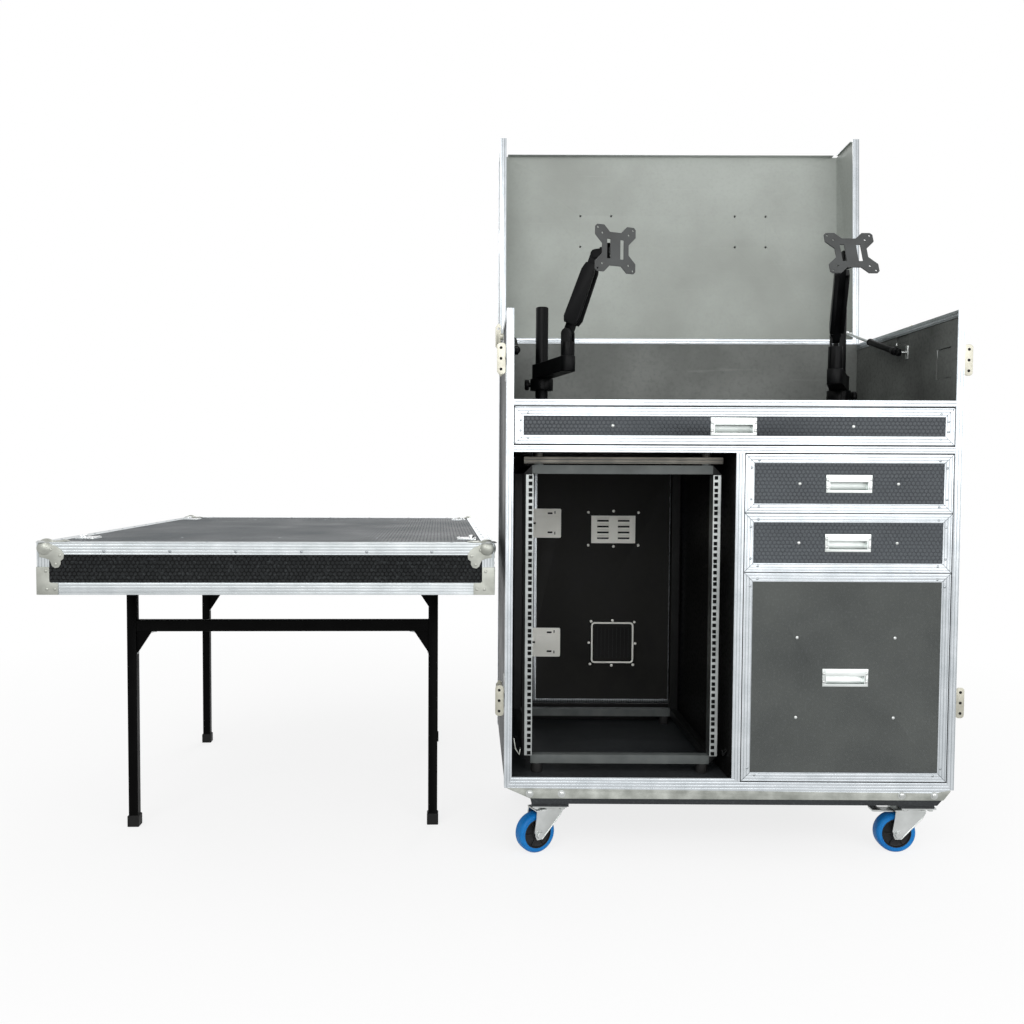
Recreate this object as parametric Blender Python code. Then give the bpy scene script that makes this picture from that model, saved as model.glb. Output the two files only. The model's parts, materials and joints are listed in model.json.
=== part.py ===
"""Workstation rack case: a flight case on castors that opens into a workplace.

The carcass holds a desk, a shock-mounted 19 inch rack, four drawers and two monitor arms. Its lid
stands open on two gas struts, and its front cover stands beside it on folding legs as a table.
Metres, Z up. The case's front faces -Y. Each body is an empty with its pieces parented to it.
"""
import math

import bmesh
import bpy
from mathutils import Euler, Vector

for item in list(bpy.data.objects):
    bpy.data.objects.remove(item, do_unlink=True)

# Overall sizes
CASE_WIDTH = 1.110
CASE_DEPTH = 0.610
BODY_TOP = 1.358
LID_DEPTH = CASE_DEPTH + 0.024
LID_HEIGHT = 0.156
COVER_DEPTH = 0.128
COVER_TOP = 0.786
COVER_LENGTH = 1.338
COVER_YAW = math.radians(2.0)
COVER_CORNER = (-1.1365, -0.030)
LID_OPEN = math.radians(93.0)

# Board, edging and fit
GAP = 0.0003
BOARD = 0.012
SHEET = 0.0015
SKIN = SHEET + GAP
POST_WIDTH = 0.018
POST_DEPTH = 0.030
FIT = 0.0003
LAP = 0.0004

# Heights of the front, from the floor up
BASE_LOW = 0.140
BASE_TOP = 0.180
FLOOR_TOP = 0.195
SILL_TOP = 0.207
SHELF_LOW = 1.010
SHELF_TOP = 1.026
DESK_LOW = 1.123
DESK_TOP = 1.138
DIVIDER_LEFT = 0.5625
DIVIDER_WIDTH = 0.018

# Castors
CASTOR_X = (0.1145, CASE_WIDTH - 0.075)
CASTOR_Y = (0.070, CASE_DEPTH - 0.070)
WHEEL_RADIUS = 0.050
CASTOR_TRAIL = 0.038
CASTOR_PLATE_LOW = 0.124
CASTOR_PLATE_TOP = 0.1277
AXLE_RADIUS = 0.006
FRONT_LEFT_YAW = math.radians(26.0)

# Rack
RACK_LEFT = 0.0472
RACK_RIGHT = 0.5458
RACK_LOW = 0.219
RACK_HIGH = 0.979
RACK_FRONT = 0.074
RACK_BACK = CASE_DEPTH - 0.050
RACK_BAR = 0.022
RAIL_FRONT = 0.060
RAIL_SHEET = 0.002
RAIL_WIDTH = 0.019
RAIL_OPENING = 0.450
RACK_UNIT = 0.04445
RACK_UNITS = 16
HOLE_SPACING = 0.4651
HOLE_SIZE = 0.0095

# Drawers: left, right, low and high edge of each aluminium frame
DRAWER_FRAME = 0.022
WIDE_DRAWER = (0.020, CASE_WIDTH - 0.020, 1.0290, 1.1200)
COLUMN_LEFT = DIVIDER_LEFT + 0.0215
COLUMN_RIGHT = CASE_WIDTH - 0.020
DRAWER_1 = (COLUMN_LEFT, COLUMN_RIGHT, 0.8640, 1.0070)
DRAWER_2 = (COLUMN_LEFT, COLUMN_RIGHT, 0.7185, 0.8625)
DRAWER_3 = (COLUMN_LEFT, COLUMN_RIGHT, 0.2000, 0.7170)
WIDE_PULL = (CASE_WIDTH / 2 - 0.0015, 1.0735)
COLUMN_PULL_X = (COLUMN_LEFT + COLUMN_RIGHT) / 2
PULL_1 = (COLUMN_PULL_X, 0.9350)
PULL_2 = (COLUMN_PULL_X, 0.7905)
PULL_3 = (COLUMN_PULL_X, 0.4585)
PULL_WIDTH = 0.112
PULL_HEIGHT = 0.0436
PULL_DEPTH = 0.020
TRAY_DEPTH = 0.480
RUNNER_THICK = 0.006
RUNNER_HEIGHT = 0.036

# Rear door
DOOR_LEFT = 0.105
DOOR_RIGHT = 0.541
DOOR_LOW = 0.245
DOOR_HIGH = 0.975
DOOR_AXIS_X = 0.5435
HINGE_RADIUS = 0.004
HINGE_OUT = 0.0045
VENT = (0.2867, 0.4224, 0.744, 0.829)
PORT = (0.2846, 0.4285, 0.369, 0.500)
DOOR_LATCH_X = 0.148
DOOR_LATCH_Z = (0.805, 0.435)

# Latches
DISH_WIDTH = 0.086
DISH_HEIGHT = 0.091
DISH_RIM = 0.008
DISH_DEPTH = 0.010
DISH_SHEET = 0.0012
COVER_LATCH_Y = 0.075
COVER_LATCH_Z = (1.237, 0.396)
LID_LATCH_Y = 0.302
LID_LATCH_Z = 1.334
LID_DISH_HEIGHT = 0.046
WING_LOW = 0.0043
WING_HIGH = 0.020
WING_LENGTH = 0.037
WING_SHEET = 0.002

# Gas struts, seen from the side as (Y, Z)
STRUT_FOOT = (CASE_DEPTH - 0.339, BODY_TOP - 0.068)
STRUT_HEAD = (CASE_DEPTH + 0.014, BODY_TOP + 0.037)
STRUT_X = 0.037
STRUT_RADIUS = 0.009
STRUT_ROD = 0.004
STRUT_TUBE = 0.193

# Poles and monitor arms
POLE_RADIUS = 0.0175
POLE_TOP = 1.422
POLE_Y = CASE_DEPTH - 0.260
POLE_X = (0.1115, CASE_WIDTH - 0.1655)
COLLAR_RADIUS = 0.032
ARM_HUB = 0.027
ARM_ELBOW = 0.020
ARM_HALF = 0.017
ARM_CHEEK = 0.0055
TONGUE_HALF = 0.008
PIVOT_PIN = 0.005
PIVOT_EYE = 0.014
HEAD_REACH = 0.028
PAN_REACH = 0.020
PLATE_SIZE = 0.115
PLATE_SHEET = 0.003
PLATE_TIP = 0.025
PLATE_NECK = (0.020, 0.016)
PLATE_STAND = 0.0243
LEFT_ELBOW = (POLE_X[0] + 0.0525, POLE_Y - 0.193)
RIGHT_ELBOW = (POLE_X[1] - 0.0825, POLE_Y - 0.182)
LEFT_ARM_LOW = 1.2225
RIGHT_ARM_LOW = 1.1930
ARM_DEEP = 0.040
LEFT_HEAD = (LEFT_ELBOW[0] + 0.0666, LEFT_ELBOW[1] - 0.0348, 1.516)
RIGHT_HEAD = (RIGHT_ELBOW[0] - 0.0458, RIGHT_ELBOW[1] - 0.1542, 1.4697)
LEFT_LIFT_Z = 1.320
RIGHT_LIFT_Z = 1.312
LEFT_PLATE_YAW = math.radians(22.0)
RIGHT_PLATE_TILT = math.radians(25.0)
VESA = (0.100, 0.075)

# Table legs, in the cover's own frame
LEG_TUBE = 0.025
LEG_SPACING = 0.807
FRONT_LEG_Y = 0.235
REAR_LEG_Y = 1.020
FRONT_LEG_PIVOT = 0.750
REAR_LEG_PIVOT = 0.700
CROSSBAR_LOW = 0.530
CROSSBAR_HIGH = 0.561
COVER_EDGE = 0.030

SEGMENTS = 24
SMALL_SEGMENTS = 12


def spot(axis, first, second, along):
    """Return the point with two outline coordinates and a place along the named axis."""
    if axis == "X":
        return Vector((along, first, second))
    if axis == "Y":
        return Vector((first, along, second))
    return Vector((first, second, along))


def prism(shape, axis, outline, start, end):
    """Add a closed prism: an outline in the two other axes, carried along the axis."""
    near = [shape.verts.new(spot(axis, a, b, start)) for a, b in outline]
    far = [shape.verts.new(spot(axis, a, b, end)) for a, b in outline]
    shape.faces.new(near)
    shape.faces.new(far)
    for step in range(len(outline)):
        shape.faces.new((near[step - 1], near[step], far[step], far[step - 1]))


def rectangle(left, right, low, high):
    """Return the four corners of a rectangle as an outline."""
    return [(left, low), (right, low), (right, high), (left, high)]


def box(shape, left, right, front, back, low, high):
    """Add a closed box between six planes."""
    prism(shape, "Z", rectangle(left, right, front, back), low, high)


def sheet(shape, axis, outline, start, end, holes=()):
    """Add a closed plate with through holes, each hole an outline of its own."""
    edges = []
    for loop in [outline] + list(holes):
        ring = [shape.verts.new(spot(axis, a, b, start)) for a, b in loop]
        edges += [shape.edges.new((ring[step - 1], ring[step])) for step in range(len(ring))]
    filled = bmesh.ops.triangle_fill(shape, use_beauty=True, edges=edges)
    faces = [item for item in filled["geom"] if isinstance(item, bmesh.types.BMFace)]
    grown = bmesh.ops.extrude_face_region(shape, geom=faces, use_keep_orig=True)
    moved = [item for item in grown["geom"] if isinstance(item, bmesh.types.BMVert)]
    bmesh.ops.translate(shape, verts=moved, vec=spot(axis, 0, 0, end - start))


def punched_strip(shape, columns, levels, start, end):
    """Add a closed upright strip along Y whose middle column is open at every other level."""
    def solid_at(column, level):
        inside = 0 <= column < len(columns) - 1 and 0 <= level < len(levels) - 1
        return inside and not (column == 1 and level % 2 == 1)

    rows = []
    for along in (start, end):
        rows.append([[shape.verts.new((a, along, b)) for b in levels] for a in columns])
    near, far = rows
    for column in range(len(columns) - 1):
        for level in range(len(levels) - 1):
            if not solid_at(column, level):
                continue
            ring = ((column, level), (column + 1, level), (column + 1, level + 1), (column, level + 1))
            shape.faces.new([near[a][b] for a, b in ring])
            shape.faces.new([far[a][b] for a, b in ring])
            sides = ((column, level - 1), (column + 1, level), (column, level + 1), (column - 1, level))
            for step, neighbour in enumerate(sides):
                if not solid_at(*neighbour):
                    a, b = ring[step]
                    c, d = ring[(step + 1) % 4]
                    shape.faces.new((near[a][b], near[c][d], far[c][d], far[a][b]))


def circle(a, b, radius, count=8):
    """Return a round outline of count points about (a, b)."""
    turns = [2 * math.pi * (step + 0.5) / count for step in range(count)]
    return [(a + radius * math.cos(turn), b + radius * math.sin(turn)) for turn in turns]


def arc(a, b, radius, start, end, count):
    """Return count + 1 outline points on an arc about (a, b), angles in degrees."""
    turns = [math.radians(start + (end - start) * step / count) for step in range(count + 1)]
    return [(a + radius * math.cos(turn), b + radius * math.sin(turn)) for turn in turns]


def turned(shape, profile, origin, direction, segments=SEGMENTS, ring=False):
    """Turn (radius, distance along the axis) pairs into a closed round solid.

    An open profile starts and ends on the axis. A ring profile closes on itself and leaves a bore.
    """
    frame = Vector(direction).to_track_quat("Z", "Y").to_matrix()
    rows = []
    for radius, along in profile:
        steps = range(segments) if radius else range(1)
        turns = [2 * math.pi * step / segments for step in steps]
        local = [Vector((radius * math.cos(turn), radius * math.sin(turn), along)) for turn in turns]
        rows.append([shape.verts.new(Vector(origin) + frame @ place) for place in local])
    pairs = list(zip(range(len(rows)), range(1, len(rows))))
    if ring:
        pairs.append((len(rows) - 1, 0))
    for near, far in pairs:
        side = abs(profile[near][1] - profile[far][1]) > abs(profile[near][0] - profile[far][0])
        for step in range(segments):
            after = step + 1
            corners = [rows[near][step % len(rows[near])], rows[near][after % len(rows[near])]]
            corners += [rows[far][after % len(rows[far])], rows[far][step % len(rows[far])]]
            face = shape.faces.new(list(dict.fromkeys(corners)))
            face.smooth = side


def rod(shape, radius, start, end, segments=SEGMENTS):
    """Add a closed round rod between two points."""
    way = Vector(end) - Vector(start)
    profile = [(0, 0), (radius, 0), (radius, way.length), (0, way.length)]
    turned(shape, profile, start, way, segments)


def dome(shape, radius, height, origin, direction):
    """Add a low round bolt or rivet head."""
    profile = [(0, 0), (radius, 0), (radius * 0.75, height * 0.75), (0, height)]
    turned(shape, profile, origin, direction, 8)


def stack(shape, loops):
    """Join loops of points one after another and close both ends."""
    rows = [[shape.verts.new(point) for point in loop] for loop in loops]
    shape.faces.new(rows[0])
    shape.faces.new(rows[-1])
    for near, far in zip(rows, rows[1:]):
        for step in range(len(near)):
            shape.faces.new((near[step - 1], near[step], far[step], far[step - 1]))


def pan(shape, axis, middle, size, rim, face, depth, thick):
    """Add a pressed pan: a flat rim with its face at face and a pocket sunk by depth.

    The sign of depth is the way the pocket goes along the axis.
    """
    way = math.copysign(1.0, depth)
    half_a = size[0] / 2
    half_b = size[1] / 2

    def loop(inset, along):
        left = middle[0] - half_a + inset
        right = middle[0] + half_a - inset
        low = middle[1] - half_b + inset
        high = middle[1] + half_b - inset
        return [spot(axis, a, b, along) for a, b in rectangle(left, right, low, high)]

    floor = face + depth
    stack(shape, [
        loop(rim + 2 * thick, floor - way * thick),
        loop(rim + thick, face),
        loop(0, face),
        loop(0, face + way * thick),
        loop(rim, face + way * thick),
        loop(rim + thick, floor),
    ])


def mitred_frame(shape, axis, area, face, way, width, depth, thick=SHEET):
    """Add an angle section carried round a rectangle, with its corners mitred.

    The flat flange shows at face, the other flange runs back along the way by depth.
    """
    left, right, low, high = area
    profile = [(0, 0), (width, 0), (width, thick), (thick, thick), (thick, depth), (0, depth)]
    if depth <= thick:
        profile = [(0, 0), (width, 0), (width, thick), (0, thick)]
    rows = []
    for inset, back in profile:
        corners = rectangle(left + inset, right - inset, low + inset, high - inset)
        rows.append([shape.verts.new(spot(axis, a, b, face + way * back)) for a, b in corners])
    for near, far in zip(rows, rows[1:] + rows[:1]):
        for step in range(4):
            shape.faces.new((near[step - 1], near[step], far[step], far[step - 1]))


def body(name, parent=None, location=(0, 0, 0), rotation=(0, 0, 0)):
    """Add a named empty that carries the pieces of one rigid body."""
    empty = bpy.data.objects.new(name, None)
    bpy.context.scene.collection.objects.link(empty)
    empty.parent = parent
    empty.location = location
    empty.rotation_euler = rotation
    return empty


def united(name, shape):
    """Return the mesh of a shape, with its overlapping solids joined into one body."""
    bmesh.ops.recalc_face_normals(shape, faces=shape.faces)
    shape.verts.ensure_lookup_table()
    reached = {0}
    queue = [shape.verts[0]]
    while queue:
        for edge in queue.pop().link_edges:
            for vertex in edge.verts:
                if vertex.index not in reached:
                    reached.add(vertex.index)
                    queue.append(vertex)
    mesh = bpy.data.meshes.new(name)
    if len(reached) == len(shape.verts):
        shape.to_mesh(mesh)
        return mesh
    others = shape.copy()
    others.verts.ensure_lookup_table()
    first = [vertex for vertex in others.verts if vertex.index in reached]
    rest = [vertex for vertex in shape.verts if vertex.index not in reached]
    bmesh.ops.delete(others, geom=first, context="VERTS")
    bmesh.ops.delete(shape, geom=rest, context="VERTS")
    shape.to_mesh(mesh)
    base_item = bpy.data.objects.new(name, mesh)
    bpy.context.scene.collection.objects.link(base_item)
    more = bpy.data.meshes.new(name)
    others.to_mesh(more)
    others.free()
    joined = bpy.data.objects.new(name, more)
    bpy.context.scene.collection.objects.link(joined)
    union = base_item.modifiers.new("Union", "BOOLEAN")
    union.operation = "UNION"
    union.solver = "EXACT"
    union.use_self = True
    union.object = joined
    seen = base_item.evaluated_get(bpy.context.evaluated_depsgraph_get())
    result = bpy.data.meshes.new_from_object(seen)
    result.name = name
    bpy.data.objects.remove(base_item, do_unlink=True)
    bpy.data.objects.remove(joined, do_unlink=True)
    return result


def piece(name, shape, carrier, finish):
    """Turn a finished shape into a named object with its own material."""
    mesh = united(name, shape)
    shape.free()
    item = bpy.data.objects.new(name, mesh)
    bpy.context.scene.collection.objects.link(item)
    item.parent = carrier
    red, green, blue, rough, metal = finish
    material = bpy.data.materials.new(name)
    material.use_nodes = True
    shader = material.node_tree.nodes["Principled BSDF"]
    shader.inputs["Base Color"].default_value = (red, green, blue, 1)
    shader.inputs["Roughness"].default_value = rough
    shader.inputs["Metallic"].default_value = metal
    mesh.materials.clear()
    mesh.materials.append(material)
    return item


ALUMINIUM = (0.78, 0.79, 0.80, 0.34, 1.0)
ZINC = (0.62, 0.62, 0.60, 0.38, 1.0)
BLACK_PLY = (0.035, 0.036, 0.038, 0.6, 0.0)
GREY_PLY = (0.27, 0.29, 0.27, 0.62, 0.0)
DARK_PLY = (0.05, 0.052, 0.055, 0.55, 0.0)
RACK_STEEL = (0.10, 0.105, 0.11, 0.45, 0.6)
BLACK_METAL = (0.02, 0.02, 0.022, 0.42, 0.3)
GREY_METAL = (0.09, 0.092, 0.097, 0.45, 0.3)
BLUE_TYRE = (0.02, 0.10, 0.45, 0.45, 0.0)
CHROME = (0.85, 0.85, 0.86, 0.15, 1.0)

carcass = body("carcass")
wall_back = CASE_DEPTH - SKIN
wall_high = BODY_TOP - SKIN
wall_outer = (SKIN, CASE_WIDTH - SKIN)
wall_inner = (SKIN + BOARD, CASE_WIDTH - SKIN - BOARD)
inside_left = wall_inner[0] + GAP
inside_right = wall_inner[1] - GAP
rear_front = wall_back - BOARD
panel_back = rear_front - GAP

# Base board with its sloped ends, the floor on it, and castor plates on plywood pads
BASE_SLOPE = 0.056
BASE_SLOPE_RIGHT = 0.025
BASE_INSET = 0.008
SLOPE_LOW = 0.154
FLAT_LEFT = BASE_INSET + BASE_SLOPE + 0.006
FLAT_RIGHT = CASE_WIDTH - BASE_SLOPE_RIGHT - 0.014
PAD_HALF = 0.047
PAD_HALF_LONG = 0.055
CASTOR_PLATE_HALF = (0.0425, 0.0525)
base = bmesh.new()
slope = [(BASE_INSET, BASE_TOP), (BASE_INSET, BASE_TOP - 0.002)]
slope += [(BASE_INSET + BASE_SLOPE, SLOPE_LOW), (FLAT_LEFT, BASE_LOW), (FLAT_RIGHT, BASE_LOW)]
slope += [(CASE_WIDTH - BASE_INSET, BASE_TOP - 0.004), (CASE_WIDTH - BASE_INSET, BASE_TOP)]
prism(base, "Y", slope, SKIN, wall_back)
box(base, inside_left, inside_right, SKIN, panel_back, BASE_TOP - LAP, FLOOR_TOP)
for place_x in CASTOR_X:
    for place_y in CASTOR_Y:
        pad_left = max(place_x - PAD_HALF, FLAT_LEFT)
        pad_right = min(place_x + PAD_HALF, FLAT_RIGHT)
        pad_front = place_y - PAD_HALF_LONG
        pad_back = place_y + PAD_HALF_LONG
        box(base, pad_left, pad_right, pad_front, pad_back, CASTOR_PLATE_TOP, BASE_LOW + LAP)
        plate_left = place_x - CASTOR_PLATE_HALF[0]
        plate_right = place_x + CASTOR_PLATE_HALF[0]
        plate_front = place_y - CASTOR_PLATE_HALF[1]
        plate_back = place_y + CASTOR_PLATE_HALF[1]
        plate_high = CASTOR_PLATE_TOP + LAP
        box(base, plate_left, plate_right, plate_front, plate_back, CASTOR_PLATE_LOW, plate_high)
piece("base_board", base, carcass, BLACK_PLY)

# Side walls, each with three latch dishes, its strut stud and the fixed drawer runners
DISH_CUT = DISH_RIM - 0.0005
cut_half_y = DISH_WIDTH / 2 - DISH_CUT
cut_half_z = DISH_HEIGHT / 2 - DISH_CUT
lid_cut_half_z = LID_DISH_HEIGHT / 2 - DISH_CUT
lid_dish_z = wall_high - LID_DISH_HEIGHT / 2 - GAP
STRUT_BRACKET = 0.016
RUNNER_FRONT = 0.016
RUNNER_RISE = 0.030
dish_cuts = []
for place_z in COVER_LATCH_Z:
    low = place_z - cut_half_z
    high = place_z + cut_half_z
    dish_cuts.append(rectangle(COVER_LATCH_Y - cut_half_y, COVER_LATCH_Y + cut_half_y, low, high))
low = lid_dish_z - lid_cut_half_z
high = lid_dish_z + lid_cut_half_z
dish_cuts.append(rectangle(LID_LATCH_Y - cut_half_y, LID_LATCH_Y + cut_half_y, low, high))
wall_outline = rectangle(SKIN, wall_back, BASE_TOP + GAP, wall_high)
for side, label in ((0, "left"), (1, "right")):
    wall = bmesh.new()
    way = -1 if side else 1
    outer = wall_outer[side]
    inner = wall_inner[side]
    sheet(wall, "X", wall_outline, outer, inner, dish_cuts)
    dish_face = outer - way * (DISH_SHEET - LAP)
    for place_z in COVER_LATCH_Z:
        middle = (COVER_LATCH_Y, place_z)
        size = (DISH_WIDTH, DISH_HEIGHT)
        pan(wall, "X", middle, size, DISH_RIM, dish_face, way * DISH_DEPTH, DISH_SHEET)
    size = (DISH_WIDTH, LID_DISH_HEIGHT)
    pan(wall, "X", (LID_LATCH_Y, lid_dish_z), size, DISH_RIM, dish_face, way * DISH_DEPTH, DISH_SHEET)
    half = STRUT_BRACKET / 2
    low = STRUT_FOOT[1] - 0.018
    bracket = rectangle(STRUT_FOOT[0] - half, STRUT_FOOT[0] + half, low, low + 0.036)
    prism(wall, "X", bracket, inner - way * LAP, inner + way * 0.002)
    stud_end = (CASE_WIDTH - STRUT_X if side else STRUT_X) - way * 0.005
    rod(wall, 0.004, (inner - way * LAP, *STRUT_FOOT), (stud_end, *STRUT_FOOT), SMALL_SEGMENTS)
    for frame in (WIDE_DRAWER, DRAWER_1, DRAWER_2, DRAWER_3) if side else (WIDE_DRAWER,):
        low = frame[2] + RUNNER_RISE
        near = min(inner - way * LAP, inner + way * (RUNNER_THICK + GAP))
        far = max(inner - way * LAP, inner + way * (RUNNER_THICK + GAP))
        box(wall, near, far, RUNNER_FRONT, TRAY_DEPTH, low, low + RUNNER_HEIGHT)
    piece(label + "_wall", wall, carcass, BLACK_PLY)

# Rear board with the door opening and the fixed hinge leaves of the rear door
HINGES = (0.330, 0.610, 0.890)
LEAF_LENGTH = 0.072
LEAF_WIDTH = 0.030
KNUCKLE = 0.0235
DOOR_GAP = 0.0015
hinge_y = CASE_DEPTH + HINGE_OUT
rear = bmesh.new()
rear_outline = rectangle(inside_left, inside_right, BASE_TOP + GAP, wall_high)
doorway_right = DOOR_RIGHT + DOOR_GAP
doorway = rectangle(DOOR_LEFT - DOOR_GAP, doorway_right, DOOR_LOW - DOOR_GAP, DOOR_HIGH + DOOR_GAP)
sheet(rear, "Y", rear_outline, rear_front, wall_back, [doorway])
leaf_left = DOOR_AXIS_X + HINGE_RADIUS - 0.001
for middle_z in HINGES:
    low = middle_z - LEAF_LENGTH / 2
    high = middle_z + LEAF_LENGTH / 2
    box(rear, leaf_left, leaf_left + LEAF_WIDTH, wall_back - LAP, CASE_DEPTH, low, high)
    for start, end in ((low, low + KNUCKLE), (high - KNUCKLE, high)):
        rod(rear, HINGE_RADIUS, (DOOR_AXIS_X, hinge_y, start), (DOOR_AXIS_X, hinge_y, end), SMALL_SEGMENTS)
        box(rear, DOOR_AXIS_X + 0.0005, leaf_left + LAP, wall_back - LAP, hinge_y, start, end)
piece("rear_board", rear, carcass, GREY_PLY)

# Desk, shelf and divider
PANEL_IN = 0.002
divider_right = DIVIDER_LEFT + DIVIDER_WIDTH
shelf_under = SHELF_LOW + PANEL_IN - GAP
shelf = bmesh.new()
box(shelf, inside_left, inside_right, SKIN, panel_back, SHELF_LOW + PANEL_IN, SHELF_TOP - PANEL_IN)
piece("shelf_panel", shelf, carcass, GREY_PLY)
desk = bmesh.new()
box(desk, inside_left, inside_right, SKIN, panel_back, DESK_TOP - BOARD, DESK_TOP)
piece("desk_panel", desk, carcass, GREY_PLY)
divider = bmesh.new()
box(divider, DIVIDER_LEFT, divider_right, SKIN, panel_back, FLOOR_TOP + GAP, shelf_under)
for frame in (DRAWER_1, DRAWER_2, DRAWER_3):
    low = frame[2] + RUNNER_RISE
    high = low + RUNNER_HEIGHT
    far = divider_right + GAP + RUNNER_THICK
    box(divider, divider_right - LAP, far, RUNNER_FRONT, TRAY_DEPTH, low, high)
piece("divider_panel", divider, carcass, GREY_PLY)

# Aluminium edging: posts, wall caps, rear cap, shelf edges, base strips, bolts and lid hinge leaves
CAP_FLANGE = 0.018
LID_NOTCH = DISH_WIDTH / 2 + 0.001
DIVIDER_EDGE = (0.561, 0.582)
LID_HINGES = (0.175, CASE_WIDTH / 2, CASE_WIDTH - 0.192)
LEAF_HEIGHT = 0.044
BOLTS = (0.063, 0.142, CASE_WIDTH - 0.128, CASE_WIDTH - 0.048)
BOLT_Z = 0.166
edging = bmesh.new()
post_low = BASE_TOP - LAP
cap_low = BODY_TOP - CAP_FLANGE
cap_under = BODY_TOP - SHEET
cap_inner = SKIN + BOARD + SKIN
for side in (0, 1):
    def across(distance):
        """Return the X at a distance in from this side's outer face."""
        return CASE_WIDTH - distance if side else distance

    front_post = [(0, 0), (POST_WIDTH, 0), (POST_WIDTH, SHEET), (SHEET, SHEET)]
    front_post += [(SHEET, POST_DEPTH), (0, POST_DEPTH)]
    prism(edging, "Z", [(across(a), b) for a, b in front_post], post_low, BODY_TOP)
    prism(edging, "Z", [(across(a), CASE_DEPTH - b) for a, b in front_post], post_low, BODY_TOP)
    top = [(across(a), b) for a, b in rectangle(0, cap_inner, cap_under, BODY_TOP)]
    prism(edging, "Y", top, SHEET - LAP, CASE_DEPTH - SHEET + LAP)
    inner_lip = rectangle(cap_inner - SHEET, cap_inner, cap_low, cap_under + LAP)
    prism(edging, "Y", [(across(a), b) for a, b in inner_lip], SHEET - LAP, rear_front - GAP)
    lip = [(across(a), b) for a, b in rectangle(0, SHEET, cap_low, cap_under + LAP)]
    prism(edging, "Y", lip, POST_DEPTH - LAP, LID_LATCH_Y - LID_NOTCH)
    prism(edging, "Y", lip, LID_LATCH_Y + LID_NOTCH, CASE_DEPTH - POST_DEPTH + LAP)
rear_cap = [(rear_front - SKIN, BODY_TOP), (CASE_DEPTH, BODY_TOP), (CASE_DEPTH, cap_low)]
rear_cap += [(CASE_DEPTH - SHEET, cap_low), (CASE_DEPTH - SHEET, cap_under)]
rear_cap += [(rear_front - SKIN, cap_under)]
prism(edging, "X", rear_cap, POST_WIDTH - LAP, CASE_WIDTH - POST_WIDTH + LAP)
strip_left = POST_WIDTH - LAP
strip_right = CASE_WIDTH - POST_WIDTH + LAP
box(edging, strip_left, strip_right, 0, SHEET, DESK_LOW, DESK_TOP)
box(edging, strip_left, strip_right, 0, SHEET, SHELF_LOW, SHELF_TOP)
box(edging, *DIVIDER_EDGE, 0, SHEET, SILL_TOP - LAP, SHELF_LOW + LAP)
box(edging, strip_left, DIVIDER_EDGE[1], 0, SHEET, BASE_TOP - LAP, SILL_TOP)
box(edging, DIVIDER_EDGE[1] - LAP, strip_right, 0, SHEET, BASE_TOP - LAP, FLOOR_TOP + 0.003)
strip = [(BASE_INSET, BASE_TOP), (BASE_INSET, BASE_TOP - 0.002)]
strip += [(BASE_INSET + BASE_SLOPE, SLOPE_LOW), (CASE_WIDTH - BASE_SLOPE_RIGHT, SLOPE_LOW)]
strip += [(CASE_WIDTH - BASE_INSET, BASE_TOP - 0.004), (CASE_WIDTH - BASE_INSET, BASE_TOP)]
prism(edging, "Y", strip, 0, SHEET)
prism(edging, "Y", strip, CASE_DEPTH - SHEET, CASE_DEPTH)
for place_x in BOLTS:
    dome(edging, 0.006, 0.003, (place_x, LAP, BOLT_Z), (0, -1, 0))
leaf_high = BODY_TOP - HINGE_RADIUS + 0.001
for middle_x in LID_HINGES:
    left = middle_x - LEAF_LENGTH / 2
    right = middle_x + LEAF_LENGTH / 2
    box(edging, left, right, CASE_DEPTH - LAP, CASE_DEPTH + SHEET, leaf_high - LEAF_HEIGHT, leaf_high)
    for start, end in ((left, left + KNUCKLE), (right - KNUCKLE, right)):
        rod(edging, HINGE_RADIUS, (start, hinge_y, BODY_TOP), (end, hinge_y, BODY_TOP), SMALL_SEGMENTS)
        box(edging, start, end, CASE_DEPTH - LAP, hinge_y, leaf_high - LAP, BODY_TOP - 0.0005)
piece("carcass_edging", edging, carcass, ALUMINIUM)

# Shock-mounted rack frame: two rings with cut corners, long bars, rubber mounts and a cross bar
RACK_INNER_LEFT = RACK_LEFT + RACK_BAR
RACK_INNER_RIGHT = RACK_RIGHT - RACK_BAR
MOUNT_RADIUS = 0.014
CROSS_BAR = (0.062, 0.076, 0.983, 1.000)
rack = bmesh.new()
for front in (RACK_FRONT, RACK_BACK - RACK_BAR):
    back = front + RACK_BAR
    for outer, inner in ((RACK_LEFT, RACK_INNER_LEFT), (RACK_RIGHT, RACK_INNER_RIGHT)):
        upright = [(outer, RACK_LOW + RACK_BAR), (inner, RACK_LOW)]
        upright += [(inner, RACK_HIGH), (outer, RACK_HIGH - RACK_BAR)]
        prism(rack, "Y", upright, front, back)
    bar_left = RACK_INNER_LEFT - LAP
    bar_right = RACK_INNER_RIGHT + LAP
    box(rack, bar_left, bar_right, front, back, RACK_HIGH - RACK_BAR, RACK_HIGH)
    box(rack, bar_left, bar_right, front, back, RACK_LOW, RACK_LOW + RACK_BAR)
for outer, inner in ((RACK_LEFT, RACK_INNER_LEFT), (RACK_RIGHT, RACK_INNER_RIGHT)):
    for outer_z, inner_z in ((RACK_LOW, RACK_LOW + RACK_BAR), (RACK_HIGH, RACK_HIGH - RACK_BAR)):
        corner = [(outer, inner_z), (inner, outer_z), (inner, inner_z)]
        prism(rack, "Y", corner, RACK_FRONT + RACK_BAR - LAP, RACK_BACK - RACK_BAR + LAP)
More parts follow.
